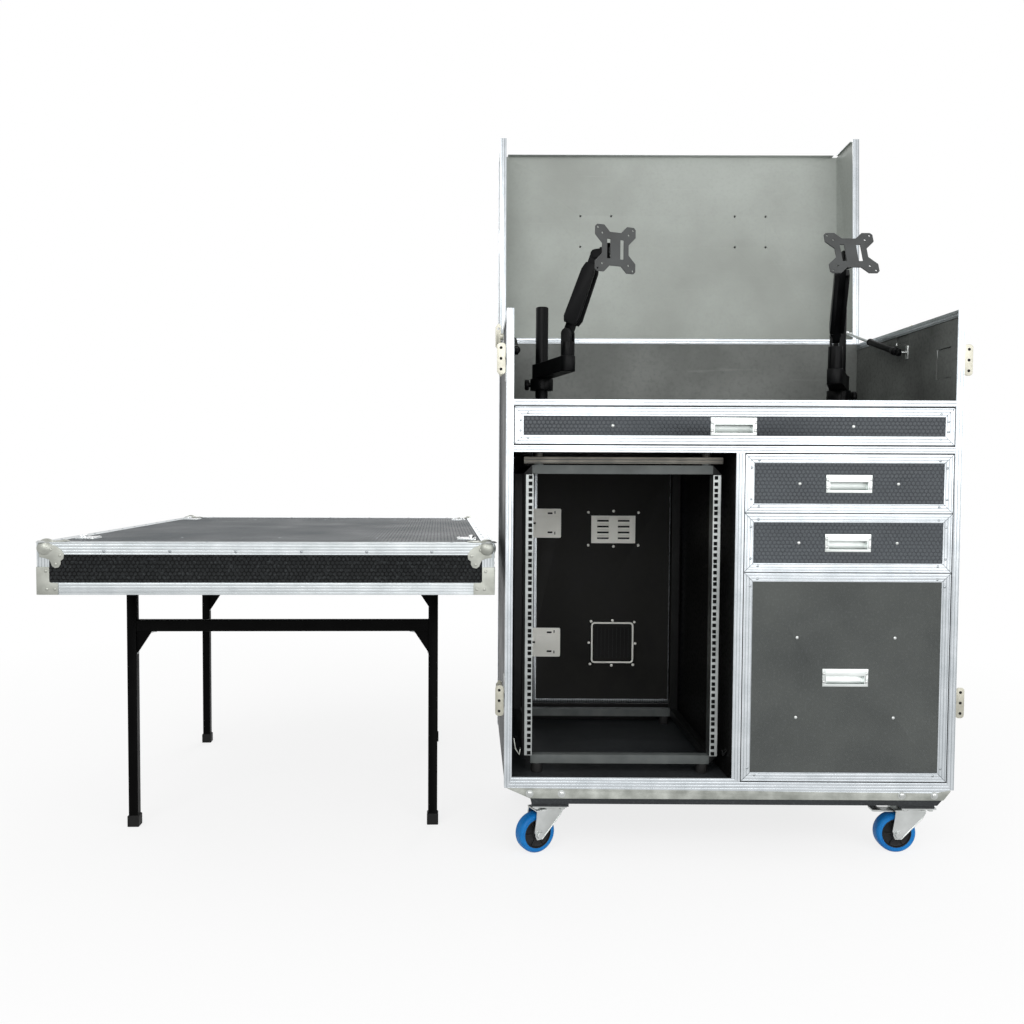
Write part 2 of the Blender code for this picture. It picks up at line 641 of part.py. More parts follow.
for place_x in (RACK_INNER_LEFT + 0.016, RACK_INNER_RIGHT - 0.016):
    for place_y in (RACK_FRONT + 0.011, RACK_BACK - 0.011):
        foot = (place_x, place_y, FLOOR_TOP + GAP)
        rod(rack, MOUNT_RADIUS, foot, (place_x, place_y, RACK_LOW + LAP), SMALL_SEGMENTS)
        head = (place_x, place_y, RACK_HIGH - LAP)
        rod(rack, MOUNT_RADIUS, head, (place_x, place_y, shelf_under), SMALL_SEGMENTS)
box(rack, RACK_LEFT, RACK_RIGHT, *CROSS_BAR)
piece("rack_frame", rack, carcass, RACK_STEEL)

# Rack rails with three square holes to each unit
rack_middle = (RACK_LEFT + RACK_RIGHT) / 2
rack_height = RACK_UNITS * RACK_UNIT
rail_low = (RACK_LOW + RACK_HIGH - rack_height) / 2
hole_rows = []
for unit in range(RACK_UNITS):
    for drop in (0.00635, 0.022225, 0.0381):
        hole_rows.append(rail_low + unit * RACK_UNIT + drop)
for way, label in ((-1, "left"), (1, "right")):
    rail = bmesh.new()
    edge = rack_middle + way * RAIL_OPENING / 2
    outer = edge + way * RAIL_WIDTH
    column = rack_middle + way * HOLE_SPACING / 2
    half = HOLE_SIZE / 2
    levels = [rail_low]
    for row in hole_rows:
        levels += [row - half, row + half]
    levels.append(rail_low + rack_height)
    columns = sorted((edge, column - half, column + half, outer))
    punched_strip(rail, columns, levels, RAIL_FRONT, RAIL_FRONT + RAIL_SHEET)
    web_front = RAIL_FRONT + RAIL_SHEET - LAP
    web = rectangle(edge, edge + way * RAIL_SHEET, rail_low, rail_low + rack_height)
    prism(rail, "Y", web, web_front, RACK_FRONT + RACK_BAR)
    piece(label + "_rack_rail", rail, carcass, RACK_STEEL)

# Poles on bolted base plates, with the collars that carry the arms
POLE_BASE = 0.120
POLE_BASE_SHEET = 0.006
COLLAR_HEIGHT = 0.032
pole_sides = (("left", POLE_X[0], LEFT_ARM_LOW, -1), ("right", POLE_X[1], RIGHT_ARM_LOW, 1))
for label, place_x, arm_low, way in pole_sides:
    pole = bmesh.new()
    base_low = DESK_TOP + GAP
    base_high = base_low + POLE_BASE_SHEET
    half = POLE_BASE / 2
    box(pole, place_x - half, place_x + half, POLE_Y - half, POLE_Y + half, base_low, base_high)
    foot = (place_x, POLE_Y, base_high - LAP)
    height = POLE_TOP - foot[2]
    profile = [(0, 0), (POLE_RADIUS, 0), (POLE_RADIUS, height - 0.002)]
    profile += [(POLE_RADIUS - 0.002, height), (0, height)]
    turned(pole, profile, foot, (0, 0, 1))
    collar_high = arm_low - GAP
    collar_low = collar_high - COLLAR_HEIGHT
    rod(pole, COLLAR_RADIUS, (place_x, POLE_Y, collar_low), (place_x, POLE_Y, collar_high))
    knob_z = arm_low - COLLAR_HEIGHT / 2
    start = place_x + way * (COLLAR_RADIUS - 0.004)
    rod(pole, 0.007, (start, POLE_Y, knob_z), (place_x + way * 0.046, POLE_Y, knob_z), SMALL_SEGMENTS)
    piece(label + "_monitor_pole", pole, carcass, BLACK_METAL)

# Gas strut cylinders, closed at the foot and bored for the rods
strut_way = Vector((0, STRUT_HEAD[0] - STRUT_FOOT[0], STRUT_HEAD[1] - STRUT_FOOT[1]))
strut_length = strut_way.length
strut_way.normalize()
STRUT_EYE = 0.010
STRUT_EYE_HALF = 0.0045
BORE_START = 0.045
for side, label in ((0, "left"), (1, "right")):
    cylinder = bmesh.new()
    strut_x = CASE_WIDTH - STRUT_X if side else STRUT_X
    foot = Vector((strut_x, *STRUT_FOOT))
    eye_half = Vector((STRUT_EYE_HALF, 0, 0))
    rod(cylinder, STRUT_EYE, foot - eye_half, foot + eye_half, SMALL_SEGMENTS)
    start = STRUT_EYE - 0.002
    tube = [(0, start), (STRUT_RADIUS, start), (STRUT_RADIUS, STRUT_TUBE)]
    tube += [(STRUT_ROD + FIT, STRUT_TUBE), (STRUT_ROD + FIT, BORE_START), (0, BORE_START)]
    turned(cylinder, tube, foot, strut_way, SMALL_SEGMENTS)
    piece(label + "_strut_cylinder", cylinder, carcass, BLACK_METAL)

# Drawers: a tray with its moving runners, and a front with its aluminium frame and recessed pull
TRAY_BOARD = 0.010
TRAY_FLOOR = 0.006
TRAY_RISE = 0.010
TRAY_DROP = 0.012
RIVET_SPAN = 0.120
PULL_RIM = 0.005
PULL_SHEET = 0.0012


def drawer(name, frame, pull, rivets):
    """Add one drawer body with its tray and its front."""
    left, right, low, high = frame
    slide = body(name, carcass)
    wide = frame is WIDE_DRAWER
    left_wall = inside_left if wide else divider_right + GAP
    tray_left = left_wall + 2 * RUNNER_THICK + 2 * GAP
    tray_right = inside_right - 2 * RUNNER_THICK - 2 * GAP
    tray_front = SKIN + BOARD + GAP
    tray_low = low + TRAY_RISE
    tray_high = high - TRAY_DROP
    tray = bmesh.new()
    box(tray, tray_left, tray_right, tray_front, TRAY_DEPTH, tray_low, tray_low + TRAY_FLOOR)
    side_low = tray_low + TRAY_FLOOR - LAP
    box(tray, tray_left, tray_left + TRAY_BOARD, tray_front, TRAY_DEPTH, side_low, tray_high)
    box(tray, tray_right - TRAY_BOARD, tray_right, tray_front, TRAY_DEPTH, side_low, tray_high)
    back_left = tray_left + TRAY_BOARD - LAP
    back_right = tray_right - TRAY_BOARD + LAP
    box(tray, back_left, back_right, TRAY_DEPTH - TRAY_BOARD, TRAY_DEPTH, side_low, tray_high)
    runner_low = low + RUNNER_RISE + 0.002
    runner_high = runner_low + RUNNER_HEIGHT - 0.004
    runner_left = left_wall + RUNNER_THICK + GAP
    runner_right = inside_right - RUNNER_THICK - GAP
    runner_back = TRAY_DEPTH - 0.004
    box(tray, runner_left, tray_left + LAP, RUNNER_FRONT, runner_back, runner_low, runner_high)
    box(tray, tray_right - LAP, runner_right, RUNNER_FRONT, runner_back, runner_low, runner_high)
    piece(name + "_tray", tray, slide, DARK_PLY)
    front = bmesh.new()
    rim = PULL_RIM - 0.001
    pull_left = pull[0] - PULL_WIDTH / 2
    pull_right = pull[0] + PULL_WIDTH / 2
    pull_low = pull[1] - PULL_HEIGHT / 2
    pull_high = pull[1] + PULL_HEIGHT / 2
    hole = rectangle(pull_left + rim, pull_right - rim, pull_low + rim, pull_high - rim)
    under = SHEET - LAP
    outline = rectangle(left + under, right - under, low + under, high - under)
    sheet(front, "Y", outline, under, SKIN + BOARD, [hole])
    mitred_frame(front, "Y", frame, 0, 1, DRAWER_FRAME, 0.0145)
    pan(front, "Y", pull, (PULL_WIDTH, PULL_HEIGHT), PULL_RIM, under - 0.001, PULL_DEPTH, PULL_SHEET)
    for rivet_x, rivet_z in rivets:
        dome(front, 0.004, 0.0015, (rivet_x, SHEET, rivet_z), (0, -1, 0))
    piece(name + "_front", front, slide, ALUMINIUM)


column_rivets = (COLUMN_PULL_X - RIVET_SPAN, COLUMN_PULL_X + RIVET_SPAN)
wide_middle = (WIDE_DRAWER[2] + WIDE_DRAWER[3]) / 2
wide_rivets = [(WIDE_PULL[0] - 0.294, wide_middle), (WIDE_PULL[0] + 0.2915, wide_middle)]
drawer("wide_drawer", WIDE_DRAWER, WIDE_PULL, wide_rivets)
drawer("drawer_1", DRAWER_1, PULL_1, [(x, PULL_1[1]) for x in column_rivets])
drawer("drawer_2", DRAWER_2, PULL_2, [(x, PULL_2[1]) for x in column_rivets])
tall_rivets = [(x, PULL_3[1] + rise) for x in column_rivets for rise in (-0.099, 0.099)]
drawer("drawer_3", DRAWER_3, PULL_3, tall_rivets)

# Castors: a swivelling fork with its axle, a wheel, and a brake pedal on the right pair
CROWN_HIGH = 0.112
CROWN_LOW = 0.108
LEG_INNER = 0.020
LEG_OUTER = 0.024
PEDAL_TOP = 0.0010
PEDAL_PIVOT = (-0.030, CROWN_LOW - GAP - PEDAL_TOP)
names = (("front_left", CASTOR_X[0], CASTOR_Y[0], FRONT_LEFT_YAW, False),
         ("front_right", CASTOR_X[1], CASTOR_Y[0], 0.0, True),
         ("rear_left", CASTOR_X[0], CASTOR_Y[1], math.radians(40), False),
         ("rear_right", CASTOR_X[1], CASTOR_Y[1], math.radians(20), True))
for label, place_x, place_y, yaw, braked in names:
    swivel = body(label + "_swivel", carcass, (place_x, place_y, 0), (0, 0, yaw))
    fork = bmesh.new()
    box(fork, -0.046, 0.032, -LEG_OUTER, LEG_OUTER, CROWN_LOW, CROWN_HIGH)
    ring_low = CROWN_HIGH - LAP
    ring_high = CASTOR_PLATE_LOW - GAP
    rod(fork, 0.024, (0, 0, ring_low), (0, 0, ring_high))
    leg = [(0.030, CROWN_LOW + LAP), (-0.044, CROWN_LOW + LAP), (-0.052, 0.058), (-0.046, 0.038)]
    leg += [(-0.030, 0.038), (0.022, 0.092)]
    prism(fork, "Y", leg, LEG_INNER, LEG_OUTER)
    prism(fork, "Y", leg, -LEG_INNER, -LEG_OUTER)
    axle = LEG_INNER + LAP
    axle_start = (-CASTOR_TRAIL, -axle, WHEEL_RADIUS)
    rod(fork, AXLE_RADIUS, axle_start, (-CASTOR_TRAIL, axle, WHEEL_RADIUS), SMALL_SEGMENTS)
    for way in (-1, 1):
        nut = (-CASTOR_TRAIL, way * (LEG_OUTER - LAP), WHEEL_RADIUS)
        dome(fork, 0.009, 0.006, nut, (0, way, 0))
    piece(label + "_fork", fork, swivel, ZINC)
    spin = body(label + "_axle", swivel, (-CASTOR_TRAIL, 0, WHEEL_RADIUS))
    wheel = bmesh.new()
    tread = WHEEL_RADIUS
    bore = AXLE_RADIUS + FIT
    profile = [(bore, -0.018), (0.016, -0.018), (0.034, -0.013), (0.036, -0.017), (0.046, -0.017)]
    profile += [(tread, -0.012), (tread, 0.012), (0.046, 0.017), (0.036, 0.017), (0.034, 0.013)]
    profile += [(0.016, 0.018), (bore, 0.018)]
    turned(wheel, profile, (0, 0, 0), (0, 1, 0), 24, ring=True)
    piece(label + "_wheel", wheel, spin, BLUE_TYRE)
    if braked:
        hinge = body(label + "_brake", swivel, (PEDAL_PIVOT[0], 0, PEDAL_PIVOT[1]))
        pedal = bmesh.new()
        box(pedal, -0.069, 0.0005, -0.015, 0.015, -0.0015, PEDAL_TOP)
        pin = LEG_INNER - GAP
        rod(pedal, PEDAL_TOP - 0.0001, (0, -pin, 0), (0, pin, 0), SMALL_SEGMENTS)
        box(pedal, -0.069, -0.048, -0.017, 0.017, 0.0006, 0.0035)
        piece(label + "_brake_pedal", pedal, hinge, ZINC)


def latch_handle(name, carrier, location, turn, floor, raised):
    """Add a butterfly latch handle: its own X is the way out of the dish, floor is the dish's floor."""
    twist = body(name + "_axis", carrier, location, turn)
    handle = bmesh.new()
    if raised:
        rod(handle, 0.009, (floor + GAP, 0, 0), (WING_LOW + 0.002, 0, 0), SMALL_SEGMENTS)
        wing = [(WING_LOW, -0.030), (0.012, -WING_LENGTH), (WING_HIGH, -0.026)]
        wing += [(WING_HIGH, 0.026), (0.012, WING_LENGTH), (WING_LOW, 0.030)]
        eyes = [circle(0.012, -0.022, 0.0035), circle(0.012, 0.022, 0.0035)]
        sheet(handle, "Y", wing, -WING_SHEET / 2, WING_SHEET / 2, eyes)
    else:
        start = floor + 0.0035
        rod(handle, 0.009, (floor + GAP, 0, 0), (start + LAP, 0, 0), SMALL_SEGMENTS)
        wing = arc(0, 0, 0.031, -60, 60, 6) + arc(0, 0, 0.031, 120, 240, 6)
        eyes = [circle(0.020, 0, 0.004), circle(-0.020, 0, 0.004)]
        sheet(handle, "X", wing, start, start + WING_SHEET, eyes)
    piece(name, handle, twist, ZINC)


# Latch handles on the side walls for the cover and the lid
wall_dish_floor = -(SKIN - DISH_SHEET + LAP) - DISH_DEPTH + DISH_SHEET
for side, label in ((0, "left"), (1, "right")):
    turn = (0, 0, 0) if side else (0, 0, math.pi)
    wall_x = CASE_WIDTH if side else 0.0
    for level, place_z in zip(("upper", "lower"), COVER_LATCH_Z):
        place = (wall_x, COVER_LATCH_Y, place_z)
        latch_handle(label + "_" + level + "_cover_latch", carcass, place, turn, wall_dish_floor, True)
    place = (wall_x, LID_LATCH_Y, lid_dish_z)
    latch_handle(label + "_lid_latch", carcass, place, turn, wall_dish_floor, True)

# Lid, modelled closed on its hinge axis and then turned open
lid = body("lid_hinge", carcass, (0, hinge_y, BODY_TOP), (-LID_OPEN, 0, 0))
LID_BACK = -HINGE_OUT
LID_FRONT = LID_BACK - LID_DEPTH
LID_LOW = GAP
LID_TOP = LID_LOW + LID_HEIGHT
PANEL_LOW = LID_TOP - SKIN - BOARD
LID_CAP = 0.020
LID_CORNER = 0.030
LID_VESA = ((0.3155, -0.3945), (CASE_WIDTH - 0.2935, -0.3945))
under = SHEET - LAP
shell = bmesh.new()
holes = []
for middle_x, middle_y in LID_VESA:
    for a in (-0.05, 0.05):
        for b in (-0.05, 0.05):
            holes.append(circle(middle_x + a, middle_y + b, 0.004))
outline = rectangle(under, CASE_WIDTH - under, LID_FRONT + under, LID_BACK - under)
sheet(shell, "Z", outline, PANEL_LOW, LID_TOP - under, holes)
lid_wall_low = LID_LOW + under
lid_wall_high = PANEL_LOW + LAP
for side in (0, 1):
    outer = CASE_WIDTH - under if side else under
    near, far = sorted((outer, wall_inner[side]))
    box(shell, near, far, LID_FRONT + under, LID_BACK - under, lid_wall_low, lid_wall_high)
rear_wall_front = LID_BACK - SKIN - BOARD
left = inside_left - 0.001
right = inside_right + 0.001
box(shell, left, right, rear_wall_front, LID_BACK - under, lid_wall_low, lid_wall_high)
for side in (0, 1):
    def from_side(distance):
        """Return the X at a distance in from this side's outer face."""
        return CASE_WIDTH - distance if side else distance

    cap = [(0, LID_LOW), (LID_CAP, LID_LOW), (LID_CAP, LID_LOW + SHEET), (SHEET, LID_LOW + SHEET)]
    cap += [(SHEET, LID_LOW + LID_CAP), (0, LID_LOW + LID_CAP)]
    prism(shell, "Y", [(from_side(a), b) for a, b in cap], LID_FRONT, LID_BACK)
    crown = [(0, LID_TOP), (LID_CORNER, LID_TOP), (LID_CORNER, LID_TOP - SHEET)]
    crown += [(SHEET, LID_TOP - SHEET), (SHEET, LID_TOP - LID_CORNER), (0, LID_TOP - LID_CORNER)]
    prism(shell, "Y", [(from_side(a), b) for a, b in crown], LID_FRONT, LID_BACK)
    for edge, way in ((LID_FRONT, 1), (LID_BACK, -1)):
        corner = [(0, 0), (LID_CAP, 0), (LID_CAP, SHEET), (SHEET, SHEET)]
        corner += [(SHEET, LID_CORNER), (0, LID_CORNER)]
        outline = [(from_side(a), edge + way * b) for a, b in corner]
        prism(shell, "Z", outline, LID_LOW + LID_CAP - LAP, LID_TOP - LID_CORNER + LAP)
for edge, way in ((LID_FRONT, 1), (LID_BACK, -1)):
    wide = edge + way * LID_CORNER
    angle = [(edge, LID_TOP), (wide, LID_TOP), (wide, LID_TOP - SHEET)]
    angle += [(edge + way * SHEET, LID_TOP - SHEET), (edge + way * SHEET, LID_TOP - LID_CORNER)]
    angle += [(edge, LID_TOP - LID_CORNER)]
    prism(shell, "X", angle, LID_CORNER - LAP, CASE_WIDTH - LID_CORNER + LAP)
hem_front = LID_BACK - BOARD - SKIN
hem = [(LID_BACK, LID_LOW), (hem_front, LID_LOW), (hem_front, LID_LOW + SHEET)]
hem += [(LID_BACK - SHEET, LID_LOW + SHEET), (LID_BACK - SHEET, LID_LOW + LID_CAP)]
hem += [(LID_BACK, LID_LOW + LID_CAP)]
prism(shell, "X", hem, LID_CAP - LAP, CASE_WIDTH - LID_CAP + LAP)
leaf_low = HINGE_RADIUS - 0.001
for middle_x in LID_HINGES:
    left = middle_x - LEAF_LENGTH / 2 + KNUCKLE + GAP
    right = middle_x + LEAF_LENGTH / 2 - KNUCKLE - GAP
    leaf_high = leaf_low + LEAF_HEIGHT
    box(shell, left - 0.020, right + 0.020, LID_BACK - LAP, LID_BACK + SHEET, leaf_low, leaf_high)
    rod(shell, HINGE_RADIUS, (left, 0, 0), (right, 0, 0), SMALL_SEGMENTS)
    box(shell, left, right, LID_BACK - LAP, 0, 0.0005, leaf_low + LAP)
stud = Vector((0, STRUT_HEAD[0] - hinge_y, STRUT_HEAD[1] - BODY_TOP))
stud.rotate(Euler((LID_OPEN, 0, 0)))
for side in (0, 1):
    way = -1 if side else 1
    inner = wall_inner[side]
    bracket = rectangle(stud.y - 0.018, stud.y + 0.018, 0.003, 0.019)
    prism(shell, "X", bracket, inner - way * LAP, inner + way * 0.002)
    stud_end = (inner + way * 0.0172, stud.y, stud.z)
    rod(shell, 0.004, (inner - way * LAP, stud.y, stud.z), stud_end, SMALL_SEGMENTS)
    edge = CASE_WIDTH if side else 0
    catch_y = LID_LATCH_Y - CASE_DEPTH - 0.005
    catch = rectangle(catch_y - 0.032, catch_y + 0.032, 0.003, 0.019)
    prism(shell, "X", catch, edge + way * LAP, edge - way * 0.0015)
piece("lid", shell, lid, GREY_PLY)

# Gas strut rods
for side, label in ((0, "left"), (1, "right")):
    strut_x = CASE_WIDTH - STRUT_X if side else STRUT_X
    slide = body(label + "_strut", carcass, (strut_x, *STRUT_FOOT))
    plunger = bmesh.new()
    reach = strut_length - STRUT_EYE + 0.002
    start = strut_way * (STRUT_TUBE - 0.030)
    rod(plunger, STRUT_ROD, start, strut_way * reach, SMALL_SEGMENTS)
    eye_half = Vector((STRUT_EYE_HALF, 0, 0))
    eye = strut_way * strut_length
    rod(plunger, STRUT_EYE, eye - eye_half, eye + eye_half, SMALL_SEGMENTS)
    piece(label + "_strut_rod", plunger, slide, CHROME)

# Rear door: a panel with latch dishes, vent and cable port, hinged at its right edge
door = body("rear_door_hinge", carcass, (DOOR_AXIS_X, hinge_y, 0))


def door_x(world_x):
    """Return a world X as measured from the door's hinge axis."""
    return world_x - DOOR_AXIS_X


def door_y(world_y):
    """Return a world Y as measured from the door's hinge axis."""
    return world_y - hinge_y


PLATE_RIM = 0.012
door_under = SHEET - LAP
door_back = door_y(CASE_DEPTH)
door_front = door_y(rear_front)
leaf = bmesh.new()
door_cut_half = DISH_WIDTH / 2 - DISH_CUT
door_holes = []
for place_z in DOOR_LATCH_Z:
    left = door_x(DOOR_LATCH_X) - door_cut_half
    right = door_x(DOOR_LATCH_X) + door_cut_half
    door_holes.append(rectangle(left, right, place_z - cut_half_z, place_z + cut_half_z))
for area in (VENT, PORT):
    left = door_x(area[0]) + PLATE_RIM
    right = door_x(area[1]) - PLATE_RIM
    door_holes.append(rectangle(left, right, area[2] + PLATE_RIM, area[3] - PLATE_RIM))
left = door_x(DOOR_LEFT) + door_under
right = door_x(DOOR_RIGHT) - door_under
door_outline = rectangle(left, right, DOOR_LOW + door_under, DOOR_HIGH - door_under)
sheet(leaf, "Y", door_outline, door_front, door_back - door_under, door_holes)
door_area = (door_x(DOOR_LEFT), door_x(DOOR_RIGHT), DOOR_LOW, DOOR_HIGH)
mitred_frame(leaf, "Y", door_area, door_back, -1, 0.022, 0.013)
inner_area = (left, right, DOOR_LOW + door_under, DOOR_HIGH - door_under)
mitred_frame(leaf, "Y", inner_area, door_front - SHEET + LAP, 1, 0.012, 0)
door_dish_face = door_back - door_under - LAP + DISH_SHEET
for place_z in DOOR_LATCH_Z:
    middle = (door_x(DOOR_LATCH_X), place_z)
    pan(leaf, "Y", middle, (DISH_WIDTH, DISH_HEIGHT), DISH_RIM, door_dish_face, -DISH_DEPTH, DISH_SHEET)
plate_back = door_front + LAP
slots = []
for column in (0.036, 0.100):
    for row in range(4):
        slot_x = door_x(VENT[0]) + column
        slot_z = VENT[2] + 0.0155 + row * 0.018
        slots.append(rectangle(slot_x - 0.018, slot_x + 0.018, slot_z - 0.003, slot_z + 0.003))
vent_outline = rectangle(door_x(VENT[0]), door_x(VENT[1]), VENT[2], VENT[3])
sheet(leaf, "Y", vent_outline, plate_back - SHEET, plate_back, slots)
port_outline = rectangle(door_x(PORT[0]), door_x(PORT[1]), PORT[2], PORT[3])
flap_rim = 0.018
hole_left = port_outline[0][0] + flap_rim
hole_right = port_outline[1][0] - flap_rim
port_hole = rectangle(hole_left, hole_right, PORT[2] + flap_rim, PORT[3] - flap_rim)
sheet(leaf, "Y", port_outline, plate_back - SHEET, plate_back, [port_hole])
flap_left = port_outline[0][0] + PLATE_RIM - LAP
flap_right = port_outline[1][0] - PLATE_RIM + LAP
flap_low = PORT[2] + PLATE_RIM - LAP
flap_high = PORT[3] - PLATE_RIM + LAP
box(leaf, flap_left, flap_right, plate_back - LAP, plate_back + 0.003, flap_low, flap_high)
for middle_z in HINGES:
    low = middle_z - LEAF_LENGTH / 2
    high = middle_z + LEAF_LENGTH / 2
    leaf_right = -HINGE_RADIUS + 0.001
    box(leaf, leaf_right - 0.020, leaf_right, door_back - LAP, door_back + SHEET, low, high)
    start = low + KNUCKLE + GAP
    end = high - KNUCKLE - GAP
    rod(leaf, HINGE_RADIUS, (0, 0, start), (0, 0, end), SMALL_SEGMENTS)
    box(leaf, leaf_right - LAP, -0.0005, door_back - LAP, 0, start, end)
piece("rear_door", leaf, door, BLACK_PLY)
for level, place_z in zip(("upper", "lower"), DOOR_LATCH_Z):
    place = (door_x(DOOR_LATCH_X), door_dish_face, place_z)
    turn = (0, 0, math.pi / 2)
    latch_handle("door_" + level + "_latch", door, place, turn, DISH_SHEET - DISH_DEPTH, False)


def heading(start, end):
    """Return the turn about Z that points own X from start to end."""
    return math.atan2(end[1] - start[1], end[0] - start[0])


def monitor_arm(label, pole_place, elbow, lift_z, head, plate_yaw, plate_tilt):
    """Add one arm: lower arm on its pole, elbow, lifting arm, levelled head, pan block and plate."""
    pole_x, arm_low = pole_place
    finish = BLACK_METAL
    pole = (pole_x, POLE_Y)
    lower_turn = heading(pole, elbow)
    length = math.hypot(elbow[0] - pole[0], elbow[1] - pole[1])
    swing = body(label + "_arm_swing", carcass, (pole_x, POLE_Y, arm_low), (0, 0, lower_turn))
    lower = bmesh.new()
    outline = arc(0, 0, ARM_HUB, 60, 300, 12) + arc(length, 0, ARM_ELBOW, -80, 80, 8)
    sheet(lower, "Z", outline, 0, ARM_DEEP, [circle(0, 0, POLE_RADIUS + FIT, SEGMENTS)])
    piece(label + "_lower_arm", lower, swing, finish)

    upper_turn = heading(elbow, head)
    level = math.hypot(head[0] - elbow[0], head[1] - elbow[1])
    rise = head[2] - lift_z
    reach = math.hypot(level, rise)
    climb = math.atan2(rise, level)
    elbow_turn = (0, 0, upper_turn - lower_turn)
    knuckle = body(label + "_elbow_swing", swing, (length, 0, ARM_DEEP), elbow_turn)
    lift_local = lift_z - arm_low - ARM_DEEP
    cheek_low = lift_local - 0.024
    elbow_shape = bmesh.new()
    rod(elbow_shape, 0.018, (0, 0, GAP), (0, 0, cheek_low + 0.002))
    cheek = [(-PIVOT_EYE, cheek_low), (PIVOT_EYE, cheek_low)] + arc(0, lift_local, PIVOT_EYE, 0, 180, 8)
    cheek_in = TONGUE_HALF + FIT
    cheek_out = cheek_in + ARM_CHEEK
    prism(elbow_shape, "Y", cheek, cheek_in, cheek_out)
    prism(elbow_shape, "Y", cheek, -cheek_in, -cheek_out)
    pin_half = cheek_in + LAP
    rod(elbow_shape, PIVOT_PIN, (0, -pin_half, lift_local), (0, pin_half, lift_local), SMALL_SEGMENTS)
    piece(label + "_elbow", elbow_shape, knuckle, finish)

    lift = body(label + "_arm_lift", knuckle, (0, 0, lift_local), (0, -climb, 0))
    upper = bmesh.new()
    spine = arc(0, 0, 0.012, 90, 270, 6) + arc(reach, 0, 0.012, -90, 90, 6)
    eyes = [circle(place, 0, PIVOT_PIN + FIT, SMALL_SEGMENTS) for place in (0, reach)]
    sheet(upper, "Y", spine, -TONGUE_HALF, TONGUE_HALF, eyes)
    for way in (-1, 1):
        shell_in = way * (TONGUE_HALF - LAP)
        shell = [(0.026, -0.015), (0.040, -0.021), (reach - 0.045, -0.018), (reach - 0.026, -0.012)]
        shell += [(reach - 0.026, 0.012), (reach - 0.045, 0.018), (0.040, 0.021), (0.026, 0.015)]
        prism(upper, "Y", shell, shell_in, way * ARM_HALF)
    piece(label + "_upper_arm", upper, lift, finish)

    level_body = body(label + "_head_level", lift, (reach, 0, 0), (0, climb, 0))
    head_shape = bmesh.new()
    head_cheek = arc(0, 0, 0.011, 90, 270, 6) + [(0.014, -0.011), (0.014, 0.011)]
    prism(head_shape, "Y", head_cheek, cheek_in, cheek_in + 0.004)
    prism(head_shape, "Y", head_cheek, -cheek_in, -cheek_in - 0.004)
    rod(head_shape, PIVOT_PIN, (0, -pin_half, 0), (0, pin_half, 0), SMALL_SEGMENTS)
    box(head_shape, 0.0136, 0.0215, -0.0123, 0.0123, -0.014, 0.014)
    rod(head_shape, 0.009, (HEAD_REACH, 0, -0.014), (HEAD_REACH, 0, 0.014), SMALL_SEGMENTS)
    piece(label + "_head", head_shape, level_body, finish)

    pan_turn = plate_yaw - math.pi / 2 - upper_turn
    pan_body = body(label + "_head_pan", level_body, (HEAD_REACH, 0, 0), (0, 0, pan_turn))
    block = bmesh.new()
    for way in (-1, 1):
        lug = arc(0, 0, 0.010, 90, 270, 6) + [(0.010, -0.0125), (PAN_REACH + 0.006, -0.0125)]
        lug += [(PAN_REACH + 0.006, 0.0125), (0.010, 0.0125)]
        prism(block, "Z", lug, way * (0.014 + GAP), way * 0.019)
        near, far = sorted((way * 0.0092, way * 0.0125))
        box(block, PAN_REACH - 0.006, PAN_REACH + 0.006, near, far, -0.0147, 0.0147)
    rod(block, 0.0035, (PAN_REACH, -0.0096, 0), (PAN_REACH, 0.0096, 0), SMALL_SEGMENTS)
    piece(label + "_pan_block", block, pan_body, finish)

    tilt = body(label + "_plate_tilt", pan_body, (PAN_REACH, 0, 0), (0, -plate_tilt, 0))
    plate = bmesh.new()
    tongue_end = PLATE_STAND - PLATE_SHEET + LAP
    tongue = arc(0, 0, 0.0075, 90, 270, 6) + [(tongue_end, -0.0075), (tongue_end, 0.0075)]
    sheet(plate, "Y", tongue, -0.0088, 0.0088, [circle(0, 0, 0.0035 + FIT, SMALL_SEGMENTS)])
    half = PLATE_SIZE / 2
    tip = half - PLATE_TIP
    nick = half - 0.005
    rising = half - PLATE_NECK[0]
    falling = half - PLATE_NECK[1]
    corner_part = [(rising, tip - PLATE_NECK[0]), (half, tip), (half, nick)]
    corner_part += [(nick, half), (tip, half), (tip - PLATE_NECK[1], falling)]
    outline = list(corner_part)
    outline += [(-a, b) for a, b in reversed(corner_part)]
    outline += [(-a, -b) for a, b in corner_part]
    outline += [(a, -b) for a, b in reversed(corner_part)]
    holes = []
    for pattern in VESA:
        for a in (-pattern / 2, pattern / 2):
            for b in (-pattern / 2, pattern / 2):
                holes.append(circle(a, b, 0.0025))
    for place in (-0.019, 0.019):
        holes.append(rectangle(place - 0.005, place + 0.005, -0.024, 0.024))
    sheet(plate, "X", outline, PLATE_STAND - PLATE_SHEET, PLATE_STAND, holes)
    piece(label + "_monitor_plate", plate, tilt, GREY_METAL)


left_pole = (POLE_X[0], LEFT_ARM_LOW)
right_pole = (POLE_X[1], RIGHT_ARM_LOW)
monitor_arm("left", left_pole, LEFT_ELBOW, LEFT_LIFT_Z, LEFT_HEAD, LEFT_PLATE_YAW, 0.0)
monitor_arm("right", right_pole, RIGHT_ELBOW, RIGHT_LIFT_Z, RIGHT_HEAD, 0.0, RIGHT_PLATE_TILT)

